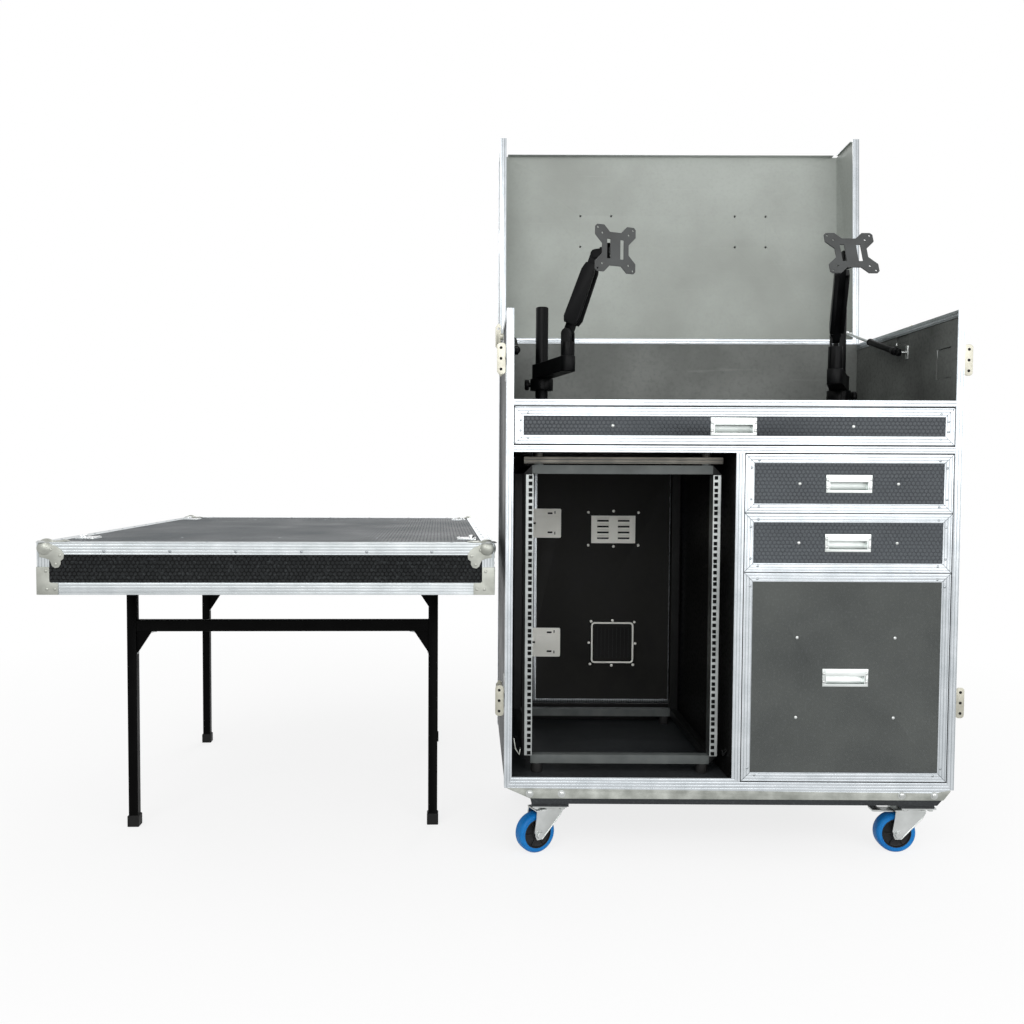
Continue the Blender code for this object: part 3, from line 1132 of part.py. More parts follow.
# Front cover standing as a table: a shallow tray of boards with angle edging and leg brackets
cover = body("cover_lift", carcass, (*COVER_CORNER, 0), (0, 0, COVER_YAW))
cover_low = COVER_TOP - COVER_DEPTH
cover_shape = bmesh.new()
board_top = COVER_TOP - under
board_low = board_top - BOARD
side_high = board_low + LAP
side_low = cover_low + under
wide_far = CASE_WIDTH - under
long_far = COVER_LENGTH - under
box(cover_shape, under, wide_far, under, long_far, board_low, board_top)
box(cover_shape, under, wide_far, under, under + BOARD, side_low, side_high)
box(cover_shape, under, wide_far, long_far - BOARD, long_far, side_low, side_high)
box(cover_shape, under, under + BOARD, under + 0.001, long_far - 0.001, side_low, side_high)
box(cover_shape, wide_far - BOARD, wide_far, under + 0.001, long_far - 0.001, side_low, side_high)
rim_under = COVER_TOP - SHEET
rim_low = COVER_TOP - COVER_EDGE
rim_angle = [(0, COVER_TOP), (COVER_EDGE, COVER_TOP), (COVER_EDGE, rim_under)]
rim_angle += [(SHEET, rim_under), (SHEET, rim_low), (0, rim_low)]
HEM_WIDTH = 0.016
hem_high = cover_low + SHEET
hem_angle = [(0, cover_low), (HEM_WIDTH, cover_low), (HEM_WIDTH, hem_high), (SHEET, hem_high)]
hem_angle += [(SHEET, cover_low + COVER_EDGE), (0, cover_low + COVER_EDGE)]
for angle in (rim_angle, hem_angle):
    prism(cover_shape, "X", angle, 0.001, CASE_WIDTH - 0.001)
    prism(cover_shape, "X", [(COVER_LENGTH - a, b) for a, b in angle], 0.001, CASE_WIDTH - 0.001)
    prism(cover_shape, "Y", angle, 0, COVER_LENGTH)
    prism(cover_shape, "Y", [(CASE_WIDTH - a, b) for a, b in angle], 0, COVER_LENGTH)
for corner_x, way_x in ((0, 1), (CASE_WIDTH, -1)):
    for corner_y, way_y in ((0, 1), (COVER_LENGTH, -1)):
        post = [(0, 0), (COVER_EDGE, 0), (COVER_EDGE, SHEET), (SHEET, SHEET)]
        post += [(SHEET, COVER_EDGE), (0, COVER_EDGE)]
        outline = [(corner_x + way_x * a, corner_y + way_y * b) for a, b in post]
        low = cover_low + COVER_EDGE - LAP
        prism(cover_shape, "Z", outline, low, COVER_TOP - COVER_EDGE + LAP)
        knob = (corner_x + way_x * 0.014, corner_y + way_y * 0.014, COVER_TOP - LAP)
        dome(cover_shape, 0.022, 0.005, knob, (0, 0, 1))
for side in (0, 1):
    way = -1 if side else 1
    start = CASE_WIDTH if side else 0
    for place_y in (0.16, COVER_LENGTH - 0.16):
        near, far = sorted((start + way * 0.040, start + way * 0.088))
        box(cover_shape, near, far, place_y - 0.030, place_y + 0.030, board_top - LAP, board_top + 0.003)
leg_left = (CASE_WIDTH - LEG_SPACING) / 2
leg_right = (CASE_WIDTH + LEG_SPACING) / 2
half_leg = LEG_TUBE / 2
BRACKET_SHEET = 0.003
for pivot_y, pivot_z in ((FRONT_LEG_Y, FRONT_LEG_PIVOT), (REAR_LEG_Y, REAR_LEG_PIVOT)):
    for place_x in (leg_left, leg_right):
        for way in (-1, 1):
            near = place_x + way * (half_leg + GAP)
            near, far = sorted((near, near + way * BRACKET_SHEET))
            low = pivot_z - 0.018
            box(cover_shape, near, far, pivot_y - 0.018, pivot_y + 0.018, low, board_low + LAP)
piece("table_cover", cover_shape, cover, DARK_PLY)

FOOT_HIGH = 0.030
leg_pairs = (("front", FRONT_LEG_Y, FRONT_LEG_PIVOT), ("rear", REAR_LEG_Y, REAR_LEG_PIVOT))
for label, pivot_y, pivot_z in leg_pairs:
    fold = body(label + "_legs_fold", cover, (0, pivot_y, pivot_z))
    legs = bmesh.new()
    for place_x in (leg_left, leg_right):
        left = place_x - half_leg
        right = place_x + half_leg
        foot_low = -pivot_z
        foot_top = foot_low + FOOT_HIGH
        box(legs, left, right, -half_leg, half_leg, foot_top - LAP, half_leg)
        boot = half_leg + 0.003
        box(legs, place_x - boot, place_x + boot, -boot, boot, foot_low, foot_top)
        gusset_way = 1 if place_x == leg_left else -1
        edge = place_x + gusset_way * (half_leg - LAP)
        tip = edge + gusset_way * 0.040
        bar_under = CROSSBAR_LOW - pivot_z + LAP
        prism(legs, "Y", [(edge, bar_under), (tip, bar_under), (edge, bar_under - 0.060)], -0.004, 0.004)
    bar_left = leg_left + half_leg - LAP
    bar_right = leg_right - half_leg + LAP
    box(legs, bar_left, bar_right, -0.010, 0.010, CROSSBAR_LOW - pivot_z, CROSSBAR_HIGH - pivot_z)
    piece(label + "_legs", legs, fold, BLACK_METAL)

# Put the origin under the middle of the whole object
bpy.context.view_layer.update()
points = []
for item in bpy.context.scene.objects:
    if item.type == "MESH":
        points += [item.matrix_world @ vertex.co for vertex in item.data.vertices]
middle_x = (min(point.x for point in points) + max(point.x for point in points)) / 2
middle_y = (min(point.y for point in points) + max(point.y for point in points)) / 2
carcass.location = (-middle_x, -middle_y, -min(point.z for point in points))
bpy.context.view_layer.update()
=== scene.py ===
"""The looks of a workstation rack case: a flight case on castors with a desk, rack, drawers,
monitor arms, a strutted lid, and its front cover beside it as a table.

Lengths are in metres. Case coordinates start at the left outer wall, the front plane and the floor.
"""

import json
import math

import bmesh
import bpy
import numpy as np
from mathutils import Matrix, Vector


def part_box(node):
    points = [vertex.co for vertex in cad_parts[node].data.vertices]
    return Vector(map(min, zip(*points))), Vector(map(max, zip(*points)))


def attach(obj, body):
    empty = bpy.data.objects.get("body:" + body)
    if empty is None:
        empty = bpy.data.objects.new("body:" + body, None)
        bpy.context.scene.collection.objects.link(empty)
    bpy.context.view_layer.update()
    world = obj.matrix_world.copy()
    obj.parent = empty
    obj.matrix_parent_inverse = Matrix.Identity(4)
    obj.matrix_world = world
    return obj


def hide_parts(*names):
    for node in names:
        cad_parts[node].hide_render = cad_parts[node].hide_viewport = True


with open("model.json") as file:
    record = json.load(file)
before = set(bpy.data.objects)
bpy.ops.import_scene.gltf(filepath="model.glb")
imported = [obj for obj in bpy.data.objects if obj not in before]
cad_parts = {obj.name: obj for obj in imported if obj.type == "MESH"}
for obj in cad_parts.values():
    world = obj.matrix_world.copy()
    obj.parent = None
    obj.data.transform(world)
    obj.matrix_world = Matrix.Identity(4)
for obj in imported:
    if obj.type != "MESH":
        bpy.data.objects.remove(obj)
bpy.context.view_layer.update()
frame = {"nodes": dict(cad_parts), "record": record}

# Base: a plywood board faced with black laminate, sloped up at both ends, standing on four
# castor plates of zinc plated steel, each bolted through a plywood pad.
desk_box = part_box("desk_panel")
CORNER = Vector((desk_box[0].x - 0.0141, desk_box[0].y - 0.0018, 0))
CASTOR_X = (0.1145, 1.035)
CASTOR_Y = (0.070, 0.540)
SHARP = math.radians(40)
GROOVE_HALF = 0.0013


def linear(code):
    """An sRGB hex colour as linear red, green, blue and one: the sRGB curve undone."""
    parts = np.array([int(code[place:place + 2], 16) for place in (1, 3, 5)]) / 255
    low = parts / 12.92
    high = ((parts + 0.055) / 1.055) ** 2.4
    return (*np.where(parts <= 0.04045, low, high).tolist(), 1.0)


def node(tree, kind, values=(), links=(), **settings):
    """Add a shader node: its settings, the values of its inputs, and links into its inputs."""
    new = tree.nodes.new("ShaderNode" + kind)
    for key, value in settings.items():
        setattr(new, key, value)
    for key, value in dict(values).items():
        new.inputs[key].default_value = value
    for key, socket in dict(links).items():
        tree.links.new(socket, new.inputs[key])
    return new


def start_material(name, roughness, metallic=0.0, turn=(0, 0, 0), sheen=0.5):
    """Return a new material's tree, its shader and Object coordinates turned back by turn."""
    material = bpy.data.materials.new(name)
    material.use_nodes = True
    tree = material.node_tree
    shader = tree.nodes["Principled BSDF"]
    shader.inputs["Roughness"].default_value = roughness
    shader.inputs["Metallic"].default_value = metallic
    shader.inputs["Specular IOR Level"].default_value = sheen
    place = node(tree, "TexCoord")
    turned_place = node(tree, "Mapping", {"Rotation": turn}, {"Vector": place.outputs["Object"]},
                        vector_type="TEXTURE")
    return material, tree, shader, turned_place.outputs["Vector"]


def maths(tree, operation, first, second=None, third=None):
    """Add one Math node; each input is a number or a socket."""
    new = node(tree, "Math", operation=operation)
    for key, value in enumerate((first, second, third)):
        if isinstance(value, (int, float)):
            new.inputs[key].default_value = value
        elif value is not None:
            tree.links.new(value, new.inputs[key])
    return new.outputs[0]


def cloud(tree, place, size, detail=3.0, stretch=(1, 1, 1), low=0.3, high=0.7):
    """Soft noise from 0 to 1 with patches of about size metres, stretched by axis."""
    scaled = node(tree, "Mapping", {"Scale": stretch}, {"Vector": place})
    noise = node(tree, "TexNoise", {"Scale": 1 / size, "Detail": detail}, {"Vector": scaled.outputs[0]})
    links = {"Value": noise.outputs[0]}
    return node(tree, "MapRange", {"From Min": low, "From Max": high}, links).outputs[0]


def mixed(tree, share, first, second):
    """Mix two colours, each a hex colour or a socket, by a share that is a socket or a number."""
    new = node(tree, "Mix", data_type="RGBA")
    for key, value in ((0, share), (6, first), (7, second)):
        if isinstance(value, bpy.types.NodeSocket):
            tree.links.new(value, new.inputs[key])
        elif isinstance(value, str):
            new.inputs[key].default_value = linear(value)
        else:
            new.inputs[key].default_value = value
    return new.outputs[2]


def spread(tree, share, low, high):
    """Turn a share from 0 to 1 into a value from low to high."""
    return node(tree, "MapRange", {"To Min": low, "To Max": high}, {"Value": share}).outputs[0]


def raise_surface(tree, shader, height, depth):
    """Bump the shader by a height from 0 to 1 that stands for depth metres."""
    bump = node(tree, "Bump", {"Strength": 1.0, "Distance": depth}, {"Height": height})
    tree.links.new(bump.outputs[0], shader.inputs["Normal"])


def laminate(name, plain, worn, axes=None, turn=(0, 0, 0), pitch=0.0105, sheen=0.20, cells=0.10):
    """Phenolic laminate on ply, pressed with hexagonal cells whose middles stand proud.

    The cells' height is the distance in from the nearest cell edge: of two offset lattices of
    middles, the nearer one's hexagon measure, max(|a|, |a|/2 + 0.866 |b|), is taken. The proud
    middles are also painted lighter by the share cells, a painted highlight that leaves the cell
    edges darker as painted shade.
    """
    material, tree, shader, place = start_material(name, 0.42, 0.0, turn, sheen)
    patches = cloud(tree, place, 0.180)
    dust = cloud(tree, place, 0.006, 4.0, low=0.52, high=0.78)
    tone = mixed(tree, patches, plain, worn)
    if axes:
        split = node(tree, "SeparateXYZ", links={0: place})
        first, second = (maths(tree, "DIVIDE", split.outputs[axis], pitch) for axis in axes)
        measures = []
        for shift in (0.0, 0.5):
            a = maths(tree, "SUBTRACT", maths(tree, "FLOORED_MODULO", maths(tree, "ADD", first, shift),
                                              1.0), 0.5)
            lifted = maths(tree, "ADD", second, shift * math.sqrt(3))
            b = maths(tree, "SUBTRACT", maths(tree, "FLOORED_MODULO", lifted, math.sqrt(3)),
                      math.sqrt(3) / 2)
            a = maths(tree, "ABSOLUTE", a)
            b = maths(tree, "MULTIPLY", maths(tree, "ABSOLUTE", b), math.sqrt(3) / 2)
            measures.append(maths(tree, "MAXIMUM", a, maths(tree, "MULTIPLY_ADD", a, 0.5, b)))
        nearest = maths(tree, "MINIMUM", *measures)
        cell = node(tree, "MapRange", {"From Min": 0.49, "From Max": 0.33}, {"Value": nearest}).outputs[0]
        raise_surface(tree, shader, cell, 0.0011)
        # Painted highlight: the proud cell middles are painted lighter by the share cells, so the cell
        # edges read as painted shade.
        tone = mixed(tree, maths(tree, "MULTIPLY", cell, cells), tone, "#8d9497")
    else:
        raise_surface(tree, shader, cloud(tree, place, 0.0022, 2.0), 0.00025)
    tone = mixed(tree, maths(tree, "MULTIPLY", dust, 0.07), tone, "#9aa1a4")
    tree.links.new(tone, shader.inputs["Base Color"])
    tree.links.new(spread(tree, patches, 0.36, 0.52), shader.inputs["Roughness"])
    return material


def metal(name, light, dull, roughness, length=None, turn=(0, 0, 0), rib=0.0073):
    """Bare or plated metal with faint clouding. Where length names an axis, fine grooves run along it.

    A groove lies at every whole multiple of rib across the length: one less the distance from it as a
    share of its half width, on each face that the axis across lies in. The grooves are also painted
    darker, as painted shade in them.
    """
    material, tree, shader, place = start_material(name, roughness, 1.0, turn)
    patches = cloud(tree, place, 0.045)
    fine = cloud(tree, place, 0.0016, 3.0)
    tone = mixed(tree, patches, light, dull)
    tree.links.new(spread(tree, fine, roughness - 0.06, roughness + 0.08), shader.inputs["Roughness"])
    if length is None:
        raise_surface(tree, shader, fine, 0.00003)
    else:
        split = node(tree, "SeparateXYZ", links={0: place})
        facing = node(tree, "TexCoord")
        facing = node(tree, "Mapping", {"Rotation": turn}, {"Vector": facing.outputs["Normal"]},
                      vector_type="TEXTURE")
        facing = node(tree, "SeparateXYZ", links={0: facing.outputs["Vector"]})
        lines = []
        for axis in (0, 1, 2):
            if axis != length:
                far = maths(tree, "PINGPONG", split.outputs[axis], rib / 2)
                line = node(tree, "MapRange", {"From Min": GROOVE_HALF, "From Max": 0.0},
                            {"Value": far}).outputs[0]
                side = maths(tree, "LESS_THAN", maths(tree, "ABSOLUTE", facing.outputs[axis]), 0.5)
                lines.append(maths(tree, "MULTIPLY", line, side))
        grooves = maths(tree, "MAXIMUM", *lines)
        raise_surface(tree, shader, maths(tree, "SUBTRACT", 1.0, grooves), 0.0004)
        # Painted shade: the grooves are painted darker, towards #5d6468.
        tone = mixed(tree, maths(tree, "MULTIPLY", grooves, 0.62), tone, "#5d6468")
    tree.links.new(tone, shader.inputs["Base Color"])
    return material


def dressed(name, finishes, rim=0.0008, own=None):
    """A CAD node's surface, merged, with softened edges and a finish for each face.

    Each finish is a material with a test that gets the faces' middles as x, y and z and their
    directions as way, all arrays in case coordinates or in the frame own. The last test that holds counts.
    """
    shape = bmesh.new()
    shape.from_mesh(frame["nodes"][name].data)
    bmesh.ops.remove_doubles(shape, verts=shape.verts, dist=1e-5)
    mesh = bpy.data.meshes.new(name + "_dressed")
    shape.to_mesh(mesh)
    shape.free()
    middles = np.zeros(len(mesh.polygons) * 3, np.float32)
    ways = np.zeros(len(mesh.polygons) * 3, np.float32)
    mesh.polygons.foreach_get("center", middles)
    mesh.polygons.foreach_get("normal", ways)
    back = np.array((own or Matrix.Translation(CORNER)).inverted())
    middles = middles.reshape(-1, 3) @ back[:3, :3].T + back[:3, 3]
    ways = ways.reshape(-1, 3) @ back[:3, :3].T
    chosen = np.zeros(len(mesh.polygons), np.int32)
    mesh.materials.clear()
    for place, (material, test) in enumerate(finishes):
        mesh.materials.append(material)
        if test is not None:
            chosen[test(*middles.T, ways.T)] = place
    mesh.polygons.foreach_set("material_index", chosen)
    item = soften(name + "_dressed", mesh, rim)
    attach(item, next(key for key, nodes in frame["record"]["behaviour"]["bodies"].items()
                       if name in nodes))
    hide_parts(name)
    return item


def soften(name, mesh, rim):
    """Make an object of a mesh, smooth but for its sharp edges, which get a rounded bevel of rim."""
    mesh.polygons.foreach_set("use_smooth", np.ones(len(mesh.polygons), bool))
    mesh.set_sharp_from_angle(angle=SHARP)
    item = bpy.data.objects.new(name, mesh)
    bpy.context.scene.collection.objects.link(item)
    if rim:
        bevel = item.modifiers.new("Edges", "BEVEL")
        bevel.width = rim
        bevel.segments = 2
        bevel.limit_method = "ANGLE"
        bevel.angle_limit = SHARP
        bevel.harden_normals = True
    return item


def joined(parts):
    """Join (points, faces) pairs into one pair."""
    points = np.concatenate([part[0] for part in parts])
    faces = []
    start = 0
    for part in parts:
        faces += [[corner + start for corner in face] for face in part[1]]
        start += len(part[0])
    return points, faces


def made(name, parts, material, body, rim=0.0, own=None, instead=()):
    """Make one piece of (points, faces) pairs in case coordinates, or in the frame own."""
    points, faces = joined(parts)
    to_row = np.array(own or Matrix.Translation(CORNER))
    points = points @ to_row[:3, :3].T + to_row[:3, 3]
    mesh = bpy.data.meshes.new(name)
    mesh.from_pydata(points, [], faces)
    shape = bmesh.new()
    shape.from_mesh(mesh)
    bmesh.ops.remove_doubles(shape, verts=shape.verts, dist=1e-6)
    bmesh.ops.dissolve_degenerate(shape, edges=shape.edges, dist=1e-7)
    bmesh.ops.recalc_face_normals(shape, faces=shape.faces)
    shape.to_mesh(mesh)
    shape.free()
    mesh.materials.append(material)
    item = soften(name, mesh, rim)
    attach(item, body)
    if instead:
        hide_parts(*instead)
    return item


def loft(rows, round_trip=False):
    """Faces between closed rows of points, with both ends capped, or joined round in a ring."""
    count, width = rows.shape[:2]
    index = np.arange(count * width).reshape(count, width)
    near = index if round_trip else index[:-1]
    far = np.roll(index, -1, 0) if round_trip else index[1:]
    quads = np.stack((near, np.roll(near, -1, 1), np.roll(far, -1, 1), far), -1)
    faces = quads.reshape(-1, 4).tolist()
    if not round_trip:
        faces += [index[0][::-1].tolist(), index[-1].tolist()]
    return rows.reshape(-1, 3), faces


def basis(way):
    """Three unit rows whose last is the way."""
    way = np.array(way, float) / np.linalg.norm(way)
    side = np.cross(way, (0, 0, 1) if abs(way[2]) < 0.9 else (0, 1, 0))
    side /= np.linalg.norm(side)
    return np.stack((side, np.cross(way, side), way))


def turned(profile, origin, way, steps=48, ring=False):
    """A surface of revolution: each (radius, distance) pair is carried round the way from origin."""
    radius, along = np.array(profile, float).T
    turns = np.arange(steps) * 2 * math.pi / steps
    local = np.stack((radius[:, None] * np.cos(turns), radius[:, None] * np.sin(turns),
                      along[:, None] + 0 * turns), -1)
    return loft(local @ basis(way) + np.array(origin, float), ring)


ZINC = metal("Bright zinc plated steel", "#c9cccb", "#b3b6b4", 0.34)
BLACK_LAMINATE = laminate("Black phenolic laminate", "#26282a", "#303335")


def castor_plate(x, y, z, way):
    """True for the faces of the castor plates, which lie below the pads."""
    return z < 0.1279


dressed("base_board", [(BLACK_LAMINATE, None), (ZINC, castor_plate)])
bolts = []
for middle_x in CASTOR_X:
    for middle_y in CASTOR_Y:
        for a in (-0.032, 0.032):
            for b in (-0.042, 0.042):
                bolts.append(turned([(0, 0.003), (0.0072, 0.003), (0.0072, -0.0045), (0, -0.0045)],
                                    (middle_x + a, middle_y + b, 0.1225), (0, 0, 1), 6))
made("castor_plate_bolts", bolts, ZINC, "carcass", 0.0006)

# Side walls: 12 mm ply with black laminate outside and film inside, cut out for pressed steel latch
# dishes that are riveted in, with the fixed drawer runners and the strut brackets screwed inside.


def film(name, clear, stained, below="#141414", split_height=None, turn=(0, 0, 0)):
    """Phenolic film on birch ply, matt, with cloudy stains, fine pressed grain and light scratches.

    Below split_height the near-black colour below is painted instead, as painted shade for the dark
    equipment bays.
    """
    material, tree, shader, place = start_material(name, 0.52, 0.0, turn, 0.20)
    patches = cloud(tree, place, 0.260, 5.0, low=0.32, high=0.70)
    specks = cloud(tree, place, 0.009, 4.0, low=0.46, high=0.74)
    scratches = cloud(tree, place, 0.030, 2.0, (0.12, 9.0, 1.0), low=0.68, high=0.80)
    tone = mixed(tree, patches, clear, stained)
    tone = mixed(tree, maths(tree, "MULTIPLY", specks, 0.30), tone, stained)
    tone = mixed(tree, maths(tree, "MULTIPLY", scratches, 0.10), tone, "#c9cdc8")
    if split_height is not None:
        height = node(tree, "SeparateXYZ", links={0: place}).outputs[2]
        # Painted shade: below split_height the film is painted near black.
        tone = mixed(tree, maths(tree, "LESS_THAN", height, split_height), tone, below)
    tree.links.new(tone, shader.inputs["Base Color"])
    tree.links.new(spread(tree, specks, 0.46, 0.66), shader.inputs["Roughness"])
    raise_surface(tree, shader, cloud(tree, place, 0.0030, 3.0), 0.00012)
    return material


def rivets(places, way, radius=0.0032, height=0.0014, steps=10):
    """Low domes on a face: rings of radius r cos t at height h sin t, sunk a little at the foot."""
    turns = np.linspace(0, math.pi / 2, 4)[:-1]
    profile = [(radius, -0.0003)] + np.stack((radius * np.cos(turns), height * np.sin(turns)), -1).tolist()
    points, faces = turned(profile, (0, 0, 0), way, steps)
    places = np.array(places, float).reshape(-1, 3)
    count = len(points)
    many = (places[:, None] + points[None]).reshape(-1, 3)
    every = [[corner + count * step for corner in face] for step in range(len(places)) for face in faces]
    return many, every


CASE_WIDTH = 1.110
CASE_DEPTH = 0.610
DESK_TOP = 1.130
# Below the desk the side walls' film is painted near black, as painted shade of the bays.
WALL_FILM = film("Film on the side walls", "#686b68", "#383a38", "#0b0b0b", DESK_TOP)
COVER_LATCH_Y = 0.075
COVER_LATCH_Z = (1.237, 0.396)
LID_LATCH_Y = 0.302
LID_LATCH_Z = 1.3332
INSIDE = 0.0138
DISH_BACK = 0.0085
DISH_HALF_Y = 0.0445
DISH_HALF_Z = 0.047
LID_DISH_HALF_Z = 0.025
LAMINATE_FACE = 0.0018
DISH_RIVETS = (0.0024, 0.0009)


def inner_side(x, y, z, way):
    """True for the film faces that look into the case."""
    inward = np.minimum(x, CASE_WIDTH - x)
    return inward > DISH_BACK


def wall_fitting(x, y, z, way):
    """True for the faces of dishes, runners and brackets, which stand off both wall faces."""
    inward = np.minimum(x, CASE_WIDTH - x)
    near_level = np.min([np.abs(z - level) for level in COVER_LATCH_Z], 0) < DISH_HALF_Z
    near_cover = (np.abs(y - COVER_LATCH_Y) < DISH_HALF_Y) & near_level
    near_lid = np.abs(y - LID_LATCH_Y) < DISH_HALF_Y
    near_lid &= np.abs(z - LID_LATCH_Z) < LID_DISH_HALF_Z
    dish = (near_cover | near_lid) & (inward < DISH_BACK)
    plane = np.abs(inward - LAMINATE_FACE) < 0.00008
    return (dish & ~plane) | (inward > INSIDE + 0.0002)


for side in ("left", "right"):
    dressed(side + "_wall", [(BLACK_LAMINATE, None), (WALL_FILM, inner_side), (ZINC, wall_fitting)], 0.0006)
    outward = -1 if side == "left" else 1
    face = 0.0006 if side == "left" else CASE_WIDTH - 0.0006
    places = []
    for middle_z in COVER_LATCH_Z:
        for a in (-0.039, 0, 0.039):
            for b in (-0.0415, 0.0415):
                places.append((face, COVER_LATCH_Y + a, middle_z + b))
        places += [(face, COVER_LATCH_Y - 0.039, middle_z), (face, COVER_LATCH_Y + 0.039, middle_z)]
    for a in (-0.039, 0.039):
        places += [(face, LID_LATCH_Y + a, LID_LATCH_Z - 0.012),
                   (face, LID_LATCH_Y + a, LID_LATCH_Z + 0.012)]
    made(side + "_dish_rivets", [rivets(places, (outward, 0, 0), *DISH_RIVETS)], ZINC, "carcass")

# Rear board: 12 mm ply round the door opening, grey film inside and black laminate outside, with
# the steel leaves of the door's three hinges.
# Below the desk the rear board's film is painted near black, as painted shade of the bays.
REAR_FILM = film("Film on the rear board", "#787b78", "#575a57", "#0a0a0a", DESK_TOP)


def outer_rear(x, y, z, way):
    """True for the laminate, which looks back."""
    return way[1] > 0.5


def hinge_leaf(x, y, z, way):
    """True for the leaves and knuckles, which stand off the laminate."""
    return y > CASE_DEPTH - 0.0015


dressed("rear_board", [(REAR_FILM, None), (BLACK_LAMINATE, outer_rear), (ZINC, hinge_leaf)], 0.0006)

# Desk, shelf and divider: film faced ply panels let in between the walls.
DESK_FILM = film("Film on the desk", "#4c4f4d", "#2e302f")
# Painted shade: the shelf and divider in the bays are painted near black.
BAY_SHADE_FILM = film("Film in the equipment bays", "#0d0d0d", "#080808")
dressed("desk_panel", [(DESK_FILM, None)])
dressed("shelf_panel", [(BAY_SHADE_FILM, None)])


def runner(x, y, z, way):
    """True for the drawer runners on the divider's right face."""
    return x > 0.5809


dressed("divider_panel", [(BAY_SHADE_FILM, None), (ZINC, runner)])

# Aluminium edging: extruded angles round the case, anodised and finely ribbed, fixed with rivets, a
# zinc base strip with four bolts, and the fixed leaves of the lid's hinges.
CASE_TOP = 1.358
SHEET = 0.0015
ANODISED = ("#ced3d7", "#bcc2c6", 0.30)
EDGE_Z = metal("Anodised aluminium, ribbed upwards", *ANODISED, 2)
EDGE_X = metal("Anodised aluminium, ribbed across", *ANODISED, 0)
EDGE_Y = metal("Anodised aluminium, ribbed to the rear", *ANODISED, 1)
BASE_METAL = metal("Dull zinc of the base strip", "#c3c6c0", "#8f928c", 0.40)
BOLT_X = (0.063, 0.142, 0.982, 1.062)
BOLT_Z = 0.166
RIVET_STEP = 0.094
EDGE_RIVETS = (0.0028, 0.0008)
LEAF_RIVETS = (0.0030, 0.0009)
LEAF_X = (0.175, 0.555, 0.918)
LEAF_HALF = 0.026
LATCH_CLEAR = 0.055


def across_case(x, y, z, way):
    """True for strips and caps whose length runs across the case."""
    beside_posts = (x > 0.0177) & (x < CASE_WIDTH - 0.0177)
    return beside_posts & ((x < 0.560) | (x > 0.583) | (z > 1.0102))


def wall_caps(x, y, z, way):
    """True for the caps along the tops of the side walls."""
    return (z > CASE_TOP - 0.0182) & ~across_case(x, y, z, way)


def base_strip(x, y, z, way):
    """True for the sloped base strips and the lid's fixed hinge leaves."""
    low = (z < 0.1798) & across_case(x, y, z, way)
    return low | (y > CASE_DEPTH + 0.0002) | (y < -0.0002)


dressed("carcass_edging", [(EDGE_Z, None), (EDGE_X, across_case), (EDGE_Y, wall_caps),
                           (BASE_METAL, base_strip)], 0.0007)
heads = []
for middle_x in BOLT_X:
    heads.append(turned([(0, 0.001), (0.0095, 0.001), (0.0095, -0.0008), (0.0065, -0.0012),
                         (0.0062, -0.0036), (0.0045, -0.0048), (0, -0.0050)], (middle_x, 0, BOLT_Z),
                        (0, 1, 0), 24))
made("base_strip_bolts", heads, ZINC, "carcass")
places = []
heights = np.arange(0.225, 1.300, RIVET_STEP)
for middle_y in (0.016, CASE_DEPTH - 0.016):
    keep = heights
    if middle_y < COVER_LATCH_Y:
        keep = heights[np.min([np.abs(heights - z) for z in COVER_LATCH_Z], 0) > LATCH_CLEAR]
    places.append(np.stack((0 * keep, 0 * keep + middle_y, keep), -1))
for middle_y in np.arange(0.085, 0.560, RIVET_STEP):
    if abs(middle_y - LID_LATCH_Y) > LATCH_CLEAR:
        places.append([(0, middle_y, CASE_TOP - 0.010)])
places = np.concatenate(places)
made("left_edge_rivets", [rivets(places, (-1, 0, 0), *EDGE_RIVETS)], ZINC, "carcass")
places = places + (CASE_WIDTH, 0, 0)
made("right_edge_rivets", [rivets(places, (1, 0, 0), *EDGE_RIVETS)], ZINC, "carcass")
places = [(side, CASE_DEPTH, height) for side in (0.010, CASE_WIDTH - 0.010) for height in heights]
places += [(across, CASE_DEPTH, CASE_TOP - 0.010) for across in np.arange(0.260, 1.0, RIVET_STEP)
           if abs(across - 0.555) > 0.05]
made("rear_edge_rivets", [rivets(places, (0, 1, 0), *EDGE_RIVETS)], ZINC, "carcass")
places = [(middle_x + a, CASE_DEPTH + SHEET, CASE_TOP - b) for middle_x in LEAF_X
          for a in (-LEAF_HALF, 0, LEAF_HALF) for b in (0.016, 0.036)]
made("lid_hinge_rivets", [rivets(places, (0, 1, 0), *LEAF_RIVETS)], ZINC, "carcass")

# Rack: a welded frame of steel bars with cut corners, black powder coated, hung between rubber
# mounts, with two punched rails and a flat steel bar across its top. Its uprights are painted darker
# than its other bars, as painted shade behind the rail holes.


def paint(name, dark, light, roughness, grain=0.0009, sheen=0.20):
    """Powder coat or moulded plastic: an even colour with a fine orange-peel grain."""
    material, tree, shader, place = start_material(name, roughness, sheen=sheen)
    patches = cloud(tree, place, 0.060)
    tree.links.new(mixed(tree, patches, dark, light), shader.inputs["Base Color"])
    tree.links.new(spread(tree, patches, roughness - 0.05, roughness + 0.07), shader.inputs["Roughness"])
    raise_surface(tree, shader, cloud(tree, place, grain, 2.0), 0.00006)
    return material


def on_axis(axis, first, second, along):
    """Points from two outline coordinates and a place along the named axis, as an array."""
    first, second, along = np.broadcast_arrays(first, second, along)
    order = {"X": (along, first, second), "Y": (first, along, second), "Z": (first, second, along)}
    return np.stack(order[axis], -1)


